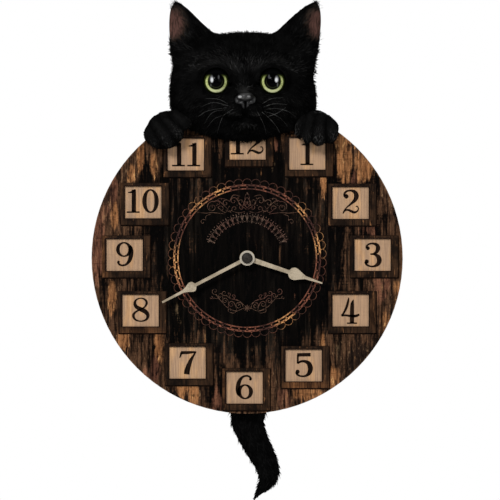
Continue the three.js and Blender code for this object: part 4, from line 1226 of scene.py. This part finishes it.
def head_flow(points):
    """The way the hair lies on the face: up the forehead, out over the cheeks, down the chin."""
    u, z = points[:, 0] - FACE_X, points[:, 2]
    away = unit(level_flow(u * 1.15, z - 150))
    away[:, 2] -= 0.9 * spot(np.abs(u), z, (48, 142), (24, 24))
    ear = np.clip((z - 200) / 14, 0, 1)
    away += level_flow(0.25 * ear * np.sign(u), 1.4 * ear)
    muzzle = spot(u, z, (0, 133), (17, 10))
    away[:, 0] += muzzle * np.sign(u) * 0.8
    away[:, 2] -= muzzle * 0.6
    return away


def face_length(points):
    """Hair is shortest round the nose and eyes, and longest on the cheeks."""
    u, z = points[:, 0] - FACE_X, points[:, 2]
    short = np.maximum(spot(u, z, (0, 138), (19, 22)), spot(np.abs(u), z, (EYE_OUT, 162), (17, 16)))
    return 6.4 - 4.0 * short - 2.6 * np.clip((z - 196) / 20, 0, 1)


# Hair grows everywhere in front but on the eyes, the nose, the mouth, and close over the dial.
u, forward, z = head_points[:, 0] - FACE_X, head_points[:, 1], head_points[:, 2]
clear_of_eyes = np.minimum(*(np.hypot(u - side * EYE_OUT, z - SOCKET_Z) for side in (-1, 1)))
clear_of_nose = np.hypot((u - 1) / 1.35, z - 143.5)
close_over_dial = (np.hypot(head_points[:, 0], z) < DIAL_RADIUS + 1) & (forward < DIAL_FRONT + 3.5)
coverage = (forward > HEAD_BACK + 1.5) & (clear_of_eyes > 13.6) & (clear_of_nose > 7.6)
coverage &= ~close_over_dial & (head_normals[:, 1] > -0.3) & (mouth_line(u, z) < 0.6)
bare = bareness(head_points)
roots, outward = rooted(head_points, head_normals, 8500, coverage * (bare < 0.25))
length = face_length(roots) * each(roots, 0.75, 1.25)
streak = 3.9 * each(roots) ** 3
# Each strand's tip takes the painted sheen, on random strands, in clumps.
tone = face_tone(roots) * streak * np.clip(1 + 0.7 * clumps(roots, 7, 3), 0.15, 3)
fur("head_fur", "clock_body", roots, outward, head_flow(roots), length, each(roots, 0.28, 0.50), tone,
    lift=0.14 - 0.07 * np.clip((roots[:, 2] - 190) / 12, 0, 1))

# Long fine hair that fans out over each eye.
over_eyes = coverage * (face_tone(head_points) > 0.05) * (z > 166)
roots, outward = rooted(head_points, head_normals, 520, over_eyes)
u = roots[:, 0] - FACE_X
flow = level_flow(np.sign(u), 0.25 + 0.9 * bell(np.abs(u), 8, 12))
fur("brow_hair", "clock_body", roots, outward, flow, each(roots, 5.5, 9.5), each(roots, 0.15, 0.24),
    0.16 * each(roots) ** 1.3, lift=0.16, bend=0.5)

# Fine brown hair that rises across the hollow of each ear from its inner side.
roots, outward = rooted(head_points, head_normals, 240, coverage * (bare > 0.02) * (bare < 0.75))
flow = level_flow(0.75 * np.sign(roots[:, 0]), 0.8)
fur("ear_hair", "clock_body", roots, outward, flow, each(roots, 5, 9), each(roots, 0.16, 0.26),
    0.10 * each(roots), lift=0.22)

# Longer locks along the cheeks' edge.
border = coverage & (HEAD_EDGE(head_points[:, 0], z) > -4) & (z > 118) & (z < 190)
roots, outward = rooted(head_points, head_normals, 520, border.astype(float))
flow = head_flow(roots) + level_flow(0.5 * np.sign(roots[:, 0]), -0.5)
fur("cheek_locks", "clock_body", roots, outward, flow, each(roots, 5, 8.5), each(roots, 0.4, 0.62),
    each(roots, 0.0, 0.04), lift=0.34)


# ---------------------------------------------------------------- eyes, nose and whiskers
def turned(name, body, centre, profile, finish, slot):
    """A solid turned about the forward axis through centre [x, z]. Profile is [radius, forward]."""
    sides = 64
    turn = np.linspace(0, math.tau, sides + 1)[:-1]
    rows = [
        np.stack([centre[0] + r * np.cos(turn), np.full(sides, f), centre[1] + r * np.sin(turn)], 1)
        for r, f in profile
    ]
    last = (len(rows) - 1) * sides
    caps = [list(range(sides)), list(range(last, last + sides))[::-1]]
    return piece(name, body, framed(np.concatenate(rows)), [tube(len(rows), sides), caps], finish, slot)


# Reflections painted on each eye: [x, z, half width, half height, strength] from its centre.
GLINTS = {
    "left": ((-3.8, 1.4, 1.7, 3.0, 0.95), (-4.2, 2.4, 2.1, 4.2, 0.22), (2.3, 4.0, 1.1, 2.6, 0.08),
             (-4.8, -3.4, 0.8, 2.0, 0.08)),
    "right": ((3.5, 1.4, 1.9, 2.9, 0.95), (3.8, 2.2, 2.3, 4.0, 0.22), (-3.3, 4.4, 1.2, 2.6, 0.08),
              (4.5, -3.0, 0.8, 2.4, 0.13)),
}
for side, (x, _, z) in EYES.items():
    finish = eye_paint(f"eye_glass_{side}", (x, z), GLINTS[side])
    profile = []
    for degrees in np.linspace(2, 96, 26):
        turn = math.radians(degrees)
        bulge = 0.9 * math.exp(-((degrees / 38) ** 2))
        depth = EYE_FORWARD + (12.6 + bulge) * math.cos(turn)
        profile.append([EYE_RADIUS * 0.965 * math.sin(turn), depth])
    ball = turned(f"eyeball_{side}", "clock_body", (x, z - 0.8), profile, finish, "eye_glass")
    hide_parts(f"eye_{side}")


def nose_shape(x, forward, z):
    """The tip, then at both sides the wing, the nostril's lower edge and the middle part, less the
    nostrils and the groove between them."""
    u = x - FACE_X - 0.9
    p, q = (u, forward, z), (np.abs(u), forward, z)
    nose = ellipsoid(p, (0, 54.8, 146.4), (8.0, 6.6, 4.6))
    nose = join(nose, capsule(q, (7.6, 54.8, 144.6), (7.2, 55.4, 142.2), 2.1, 1.9), 2.0)
    nose = join(nose, capsule(q, (6.6, 55.6, 141.6), (2.6, 56.4, 140.2), 1.7, 1.6), 1.2)
    nose = join(nose, capsule(q, (2.4, 56.4, 140.4), (1.7, 55.6, 137.0), 1.6, 1.3), 1.2)
    nose = carve(nose, capsule(q, (2.7, 61.2, 142.9), (6.4, 59.8, 143.2), 1.2, 1.25), 0.8)
    nose = carve(nose, capsule(p, (0, 60.6, 145), (0, 58.6, 135), 0.7, 0.8), 0.8)
    return nose


nose_points, nose_quads, _ = skin_of(nose_shape, (-13, 46, 134.5), (10, 63, 152), 0.45)
piece("nose", "clock_body", framed(nose_points), [nose_quads], nose_paint(), "black_fur")


def front_of_head(x, z):
    """How far forward the head's skin is at each x and z."""
    depths = np.arange(66.0, 24.0, -0.5)
    value = head_shape(*np.broadcast_arrays(x[:, None], depths[None, :], z[:, None]))
    return depths[np.argmax(value < 0, axis=1)]


def rod(line, radii):
    """A round tapered rod along points in x, forward and z: (points, quads)."""
    sides = 6
    along = unit(np.gradient(line, axis=0))
    side = unit(np.cross(along, (0.1, 0.9, 0.3)))
    up = np.cross(along, side)
    rings = []
    for turn in math.tau * np.arange(sides) / sides:
        rings.append(line + (math.cos(turn) * side + math.sin(turn) * up) * radii[:, None])
    return np.stack(rings, 1).reshape(-1, 3), np.array(tube(len(line), sides))


# Each whisker's line in x and z, from its root to its tip.
WHISKERS = [
    [[-15.8, 137.9], [-30.6, 141.4], [-42.1, 137.4]],
    [[-16.5, 136.6], [-28.3, 135.4], [-37.5, 133.2], [-44.8, 128.6]],
    [[-18, 134.6], [-29.5, 133.4], [-35.2, 128.6], [-38.7, 122.6]],
    [[-11.8, 135.4], [-19.2, 131.4], [-22.8, 127.4], [-25.2, 121.0], [-27.6, 113.5]],
    [[-14, 133.0], [-21.6, 130.0], [-30.0, 126.6], [-36.0, 119.5]],
    [[-17, 139.6], [-26.0, 144.4], [-38.0, 145.0]],
    [[8.3, 134.4], [11.7, 128.4], [15.4, 120.8], [17.6, 112.6]],
    [[14.6, 135.0], [26.6, 136.0], [36.9, 133.6], [44.4, 128.4]],
    [[14.0, 133.4], [23.2, 131.2], [31.2, 126.4], [37.4, 119.6]],
    [[17.4, 128.6], [26.6, 131.4], [35.4, 137.2]],
    [[14.0, 136.8], [24.0, 140.2], [36.8, 139.6]],
    [[12.6, 133.2], [20.0, 127.4], [26.2, 120.6], [30.0, 114.4]],
    [[13.0, 139.6], [22.0, 144.8], [33.0, 146.0]],
]
points, quads = [], []
for line in WHISKERS:
    x, z = smooth_line(line).T
    share = np.linspace(0, 1, len(x))
    # Each follows the face, smoothed, and springs away from it towards its end.
    skin = front_of_head(x, z)
    skin = np.maximum.accumulate(skin[::-1])[::-1] if skin[0] < skin[-1] else skin
    even = np.convolve(np.pad(skin, 2, "edge"), np.ones(5) / 5, "valid")
    rise = np.minimum(np.maximum(even, skin) + 0.5 + 1.6 * np.sin(share * math.pi * 0.6), 63.5)
    rise[0] = skin[0] - 0.6
    more, faces = rod(np.stack([x, rise, z], 1), 0.18 * (1 - share) ** 0.7 + 0.05)
    quads.append(faces + sum(len(p) for p in points))
    points.append(more)
piece("whiskers", "clock_body", framed(np.vstack(points)), [np.vstack(quads)], whisker_paint(), "black_fur")


# ---------------------------------------------------------------- paws
# Outlines are in x and z. Each toe runs from its knuckle to its tip, as [x, forward, z, radius].
PAWS = {
    "left": {
        "outline": [
            [-60, 135.6], [-69.2, 134.8], [-76.5, 133.8], [-81.9, 131.9], [-86.8, 128.1], [-90.6, 122.4],
            [-94, 115.4], [-93.4, 108.7], [-89.9, 104.4], [-83.7, 100.8], [-78.3, 99.6], [-71.7, 100.0],
            [-66.6, 102.1], [-63, 104.8], [-58.6, 110.3], [-57.4, 115.8], [-53.5, 119.0], [-49, 124],
            [-51, 132],
        ],
        "toes": [
            [(-90, 35, 117, 7.5), (-82.6, 38.5, 106.4, 6.6)],
            [(-83.5, 37, 122.5, 7.6), (-72.6, 41.6, 108.4, 7.6)],
            [(-75.5, 37, 127.0, 7.4), (-65.0, 41.2, 114.2, 7.4)],
            [(-67.0, 36, 130.4, 6.6), (-57.4, 40.0, 122.4, 6.8)],
        ],
    },
    "right": {
        "outline": [
            [54, 135.6], [62.8, 135.5], [66.6, 135.0], [71.5, 132.7], [76.3, 129.0], [81.1, 124.6],
            [83.2, 121.0], [83.4, 116.6], [82.4, 111.4], [80.4, 107.6], [77.2, 104.9], [73, 105.2],
            [69.2, 104.0],
            [65.2, 102.9], [61.2, 104.2], [57.8, 106.2], [54.2, 103.9], [51.9, 107.2], [50.0, 110.4],
            [47.4, 109.6], [44.9, 113.3], [44, 119], [45, 128],
        ],
        "toes": [
            [(75.6, 36, 124.6, 6.8), (76.6, 39.0, 111.4, 6.4)],
            [(67.4, 37, 126.0, 7.2), (65.4, 41.6, 109.8, 7.0)],
            [(58.8, 37, 127.6, 7.0), (54.6, 41.2, 110.8, 6.4)],
            [(50.6, 36, 128.8, 6.0), (48.0, 39.2, 115.4, 5.0)],
        ],
    },
}


def toe_gaps(side, x, forward, z):
    """The distances to the nearest toe and to the next one."""
    gaps = [capsule((x, forward, z), a[:3], b[:3], a[3], b[3]) for a, b in PAWS[side]["toes"]]
    gaps = np.sort(np.stack(np.broadcast_arrays(*gaps)), axis=0)
    return gaps[0], gaps[1]


def paw_shape(side):
    """A flat paw of that outline with its toes on top, under which one number frame stands."""
    outline = Outline(PAWS[side]["outline"])
    hour = 11 if side == "left" else 1

    def shape(x, forward, z):
        edge = outline(x, z)
        made = join(slab(edge, forward, 37, 7), join(*toe_gaps(side, x, forward, z), 0.5), 1.6)
        made = np.maximum(made, np.maximum(edge, HEAD_BACK - forward))
        return over_dial(made, (x, forward, z), (hour,))

    return shape


def toe_ridge(side, points):
    """How far each point is from the grooves between the toes, from 0 to 1."""
    nearest, following = toe_gaps(side, *points.T)
    return np.clip((following - nearest - 0.4) / 4.5, 0, 1)


for side, paw in PAWS.items():
    low, high = np.min(paw["outline"], axis=0) - 1, np.max(paw["outline"], axis=0) + 1
    reach = (low[0], HEAD_BACK, low[1]), (high[0], 51, high[1])
    points, quads, normals = skin_of(paw_shape(side), *reach, 0.8)
    ridge = toe_ridge(side, points)
    # Painted light on the toes' ridges, and painted shade in the grooves between them.
    shown = piece(f"paw_{side}_relief", "clock_body", framed(points), [quads], *FUR,
                  tone=0.012 * ridge * (points[:, 1] > 30))
    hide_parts(f"paw_{side}")
    knuckles, tips = (np.mean([toe[end][:3] for toe in paw["toes"]], axis=0) for end in (0, 1))
    heading = (tips - knuckles) * (1, 0, 1)
    heading /= np.linalg.norm(heading)
    in_front = (normals[:, 1] > -0.2) & (points[:, 1] > DIAL_FRONT + 2.5)
    past_rim = (np.hypot(points[:, 0], points[:, 2]) > DIAL_RADIUS + 2) & (normals[:, 1] > -0.4)
    keep = (in_front | past_rim) & (ridge > 0.05)
    roots, outward = rooted(points, normals, 2400, keep.astype(float))
    flow = np.tile(heading, (len(roots), 1)) + 0.3 * (roots - knuckles) / 16 * (1, 0, 1)
    # Painted highlights on the strands near the toes' tips, only on strands that face forward.
    toe_highlight = 0.006 + 0.12 * toe_ridge(side, roots) * bell((roots - tips) @ heading, 0, 12)
    toe_highlight *= np.clip(1 + 0.9 * clumps(roots, 9, 12), 0.1, 3)
    tone = toe_highlight * (outward[:, 1] > 0.4) * 3.0 * each(roots) ** 2.4
    fur(f"paw_{side}_fur", "clock_body", roots, outward, flow, each(roots, 1.8, 3.2),
        each(roots, 0.2, 0.34), tone, lift=0.10)

# ---------------------------------------------------------------- tail
# Its middle line as [x, z, half width].
TAIL_LINE = [
    [-14, -97, 13.4], [-12.3, -112, 17.0], [-1.0, -129, 18.5], [1.4, -138.4, 16.2], [0.6, -144.5, 15.0],
    [0.3, -150, 14.3], [2.2, -157, 13.6], [6.4, -167.3, 12.4], [11.8, -177.7, 11.6], [16.4, -186.9, 10.6],
    [19.2, -195, 9.7], [19.4, -202, 7.9], [16.0, -209, 5.4], [11.4, -214.6, 3.0], [7.0, -221.1, 0.9],
]
TAIL_LOW, TAIL_HIGH = cad("tail")
TAIL_MIDDLE = -(TAIL_LOW[1] + TAIL_HIGH[1]) / 2
TAIL_DEEP = (TAIL_HIGH[1] - TAIL_LOW[1]) / 2
tail_curve = smooth_line(TAIL_LINE, per=4)


def tail_shape(x, forward, z):
    """Oval in section along its middle line, with room at its back for the steel strip."""
    made = np.full(np.broadcast(x, z).shape, 1e9)
    for a, b in zip(tail_curve[:-1], tail_curve[1:]):
        axis = b[:2] - a[:2]
        t = np.clip(((x - a[0]) * axis[0] + (z - a[1]) * axis[1]) / (axis @ axis), 0, 1)
        half = a[2] + (b[2] - a[2]) * t
        across = np.hypot(x - a[0] - t * axis[0], z - a[1] - t * axis[1])
        deep = np.minimum(TAIL_DEEP - 0.7, half)
        around = np.sqrt((across / half) ** 2 + ((forward - TAIL_MIDDLE) / deep) ** 2)
        made = np.minimum(made, (around - 1) * deep)
    return less_room(np.maximum(made, z - TAIL_HIGH[2]), (x, forward, z), "tail_strip")


points, quads, normals = skin_of(
    tail_shape, (TAIL_LOW[0], -TAIL_HIGH[1], TAIL_LOW[2]), (TAIL_HIGH[0], -TAIL_LOW[1], TAIL_HIGH[2]), 1.0
)
tail = piece("tail_relief", "tail_pendulum", framed(points), [quads], *FUR, tone=np.zeros(len(points)))
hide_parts("tail")


def tail_flow(at):
    """Along the tail's middle line, towards its tip."""
    away = (at[:, None, 0] - tail_curve[None, :, 0]) ** 2 + (at[:, None, 2] - tail_curve[None, :, 1]) ** 2
    heading = unit(np.gradient(tail_curve[:, :2], axis=0))[np.argmin(away, axis=1)]
    return level_flow(*heading.T)


in_sight = (points[:, 2] < -100) & (points[:, 1] < TAIL_MIDDLE + TAIL_DEEP - 0.5)
roots, outward = rooted(points, normals, 4200, in_sight.astype(float))
length = each(roots, 5.0, 8.5) * np.clip((roots[:, 2] + 226) / 22, 0.35, 1)
tone = 0.05 * each(roots) ** 2
fur("tail_fur", "tail_pendulum", roots, outward, tail_flow(roots), length, each(roots, 0.3, 0.5), tone,
    lift=0.05 + 0.06 * np.clip((-144 - roots[:, 2]) / 6, 0.0, 1.0))


# ---------------------------------------------------------------- stage, light and camera
def placed(name, data, at):
    """A new object at a place in metres."""
    made = bpy.data.objects.new(name, data)
    made.location = at
    bpy.context.scene.collection.objects.link(made)
    return made


FLOOR_RADIUS, FLOOR_Z = 0.9, -0.30
turns = np.linspace(0, math.tau, 65)[:-1]
rim = [[FLOOR_RADIUS * math.cos(a), FLOOR_RADIUS * math.sin(a), FLOOR_Z] for a in turns]
floor_mesh = bpy.data.meshes.new("floor")
floor_mesh.from_pydata(rim, [], [list(range(len(rim)))])
floor = placed("floor", floor_mesh, (0, 0, 0))
pale = Paint("pale_floor", Roughness=0.9)
tone = pale.mix((226, 225, 222), (232, 231, 229), pale.noise((6, 6, 6), 2.0))
floor_mesh.materials.append(pale.finished(tone))

# The backdrop is white to the camera and lights the clock only dimly.
world = bpy.data.worlds.new("studio")
world.use_nodes = True
backdrop = world.node_tree.nodes["Background"]
path = world.node_tree.nodes.new("ShaderNodeLightPath")
level = world.node_tree.nodes.new("ShaderNodeMapRange")
level.inputs["To Min"].default_value = 0.30
level.inputs["To Max"].default_value = 1.0
world.node_tree.links.new(path.outputs["Is Camera Ray"], level.inputs["Value"])
world.node_tree.links.new(level.outputs[0], backdrop.inputs["Strength"])
backdrop.inputs["Color"].default_value = (1, 1, 1, 1)
bpy.context.scene.world = world

# Round lamps aimed at the hands' axis: name, place, diameter in metres, and power in watts.
for name, at, size, power in (
    ("key", (-0.75, -1.65, 1.15), 0.6, 37),
    ("fill", (1.3, -1.6, 0.2), 1.2, 8),
    ("back", (0.6, 1.6, 0.9), 1.0, 16),
):
    lamp = bpy.data.lights.new(name, "AREA")
    lamp.shape, lamp.size, lamp.energy = "DISK", size, power
    placed(name, lamp, at).rotation_euler = (-Vector(at)).to_track_quat("-Z", "Y").to_euler()

FRAME_HEIGHT = 458 * MM  # what the camera takes in at the dial
CAMERA = Vector((2.6 * MM, -3.0, 7.4 * MM))
camera_data = bpy.data.cameras.new("camera")
camera_data.sensor_width = 36
camera_data.lens = 36 * (-CAMERA.y - DIAL_FRONT * MM) / FRAME_HEIGHT
camera_data.clip_end = 20
camera = placed("camera", camera_data, CAMERA)
camera.rotation_euler = (math.pi / 2, 0, 0)
bpy.context.scene.camera = camera
bpy.context.scene.view_settings.view_transform = "Standard"
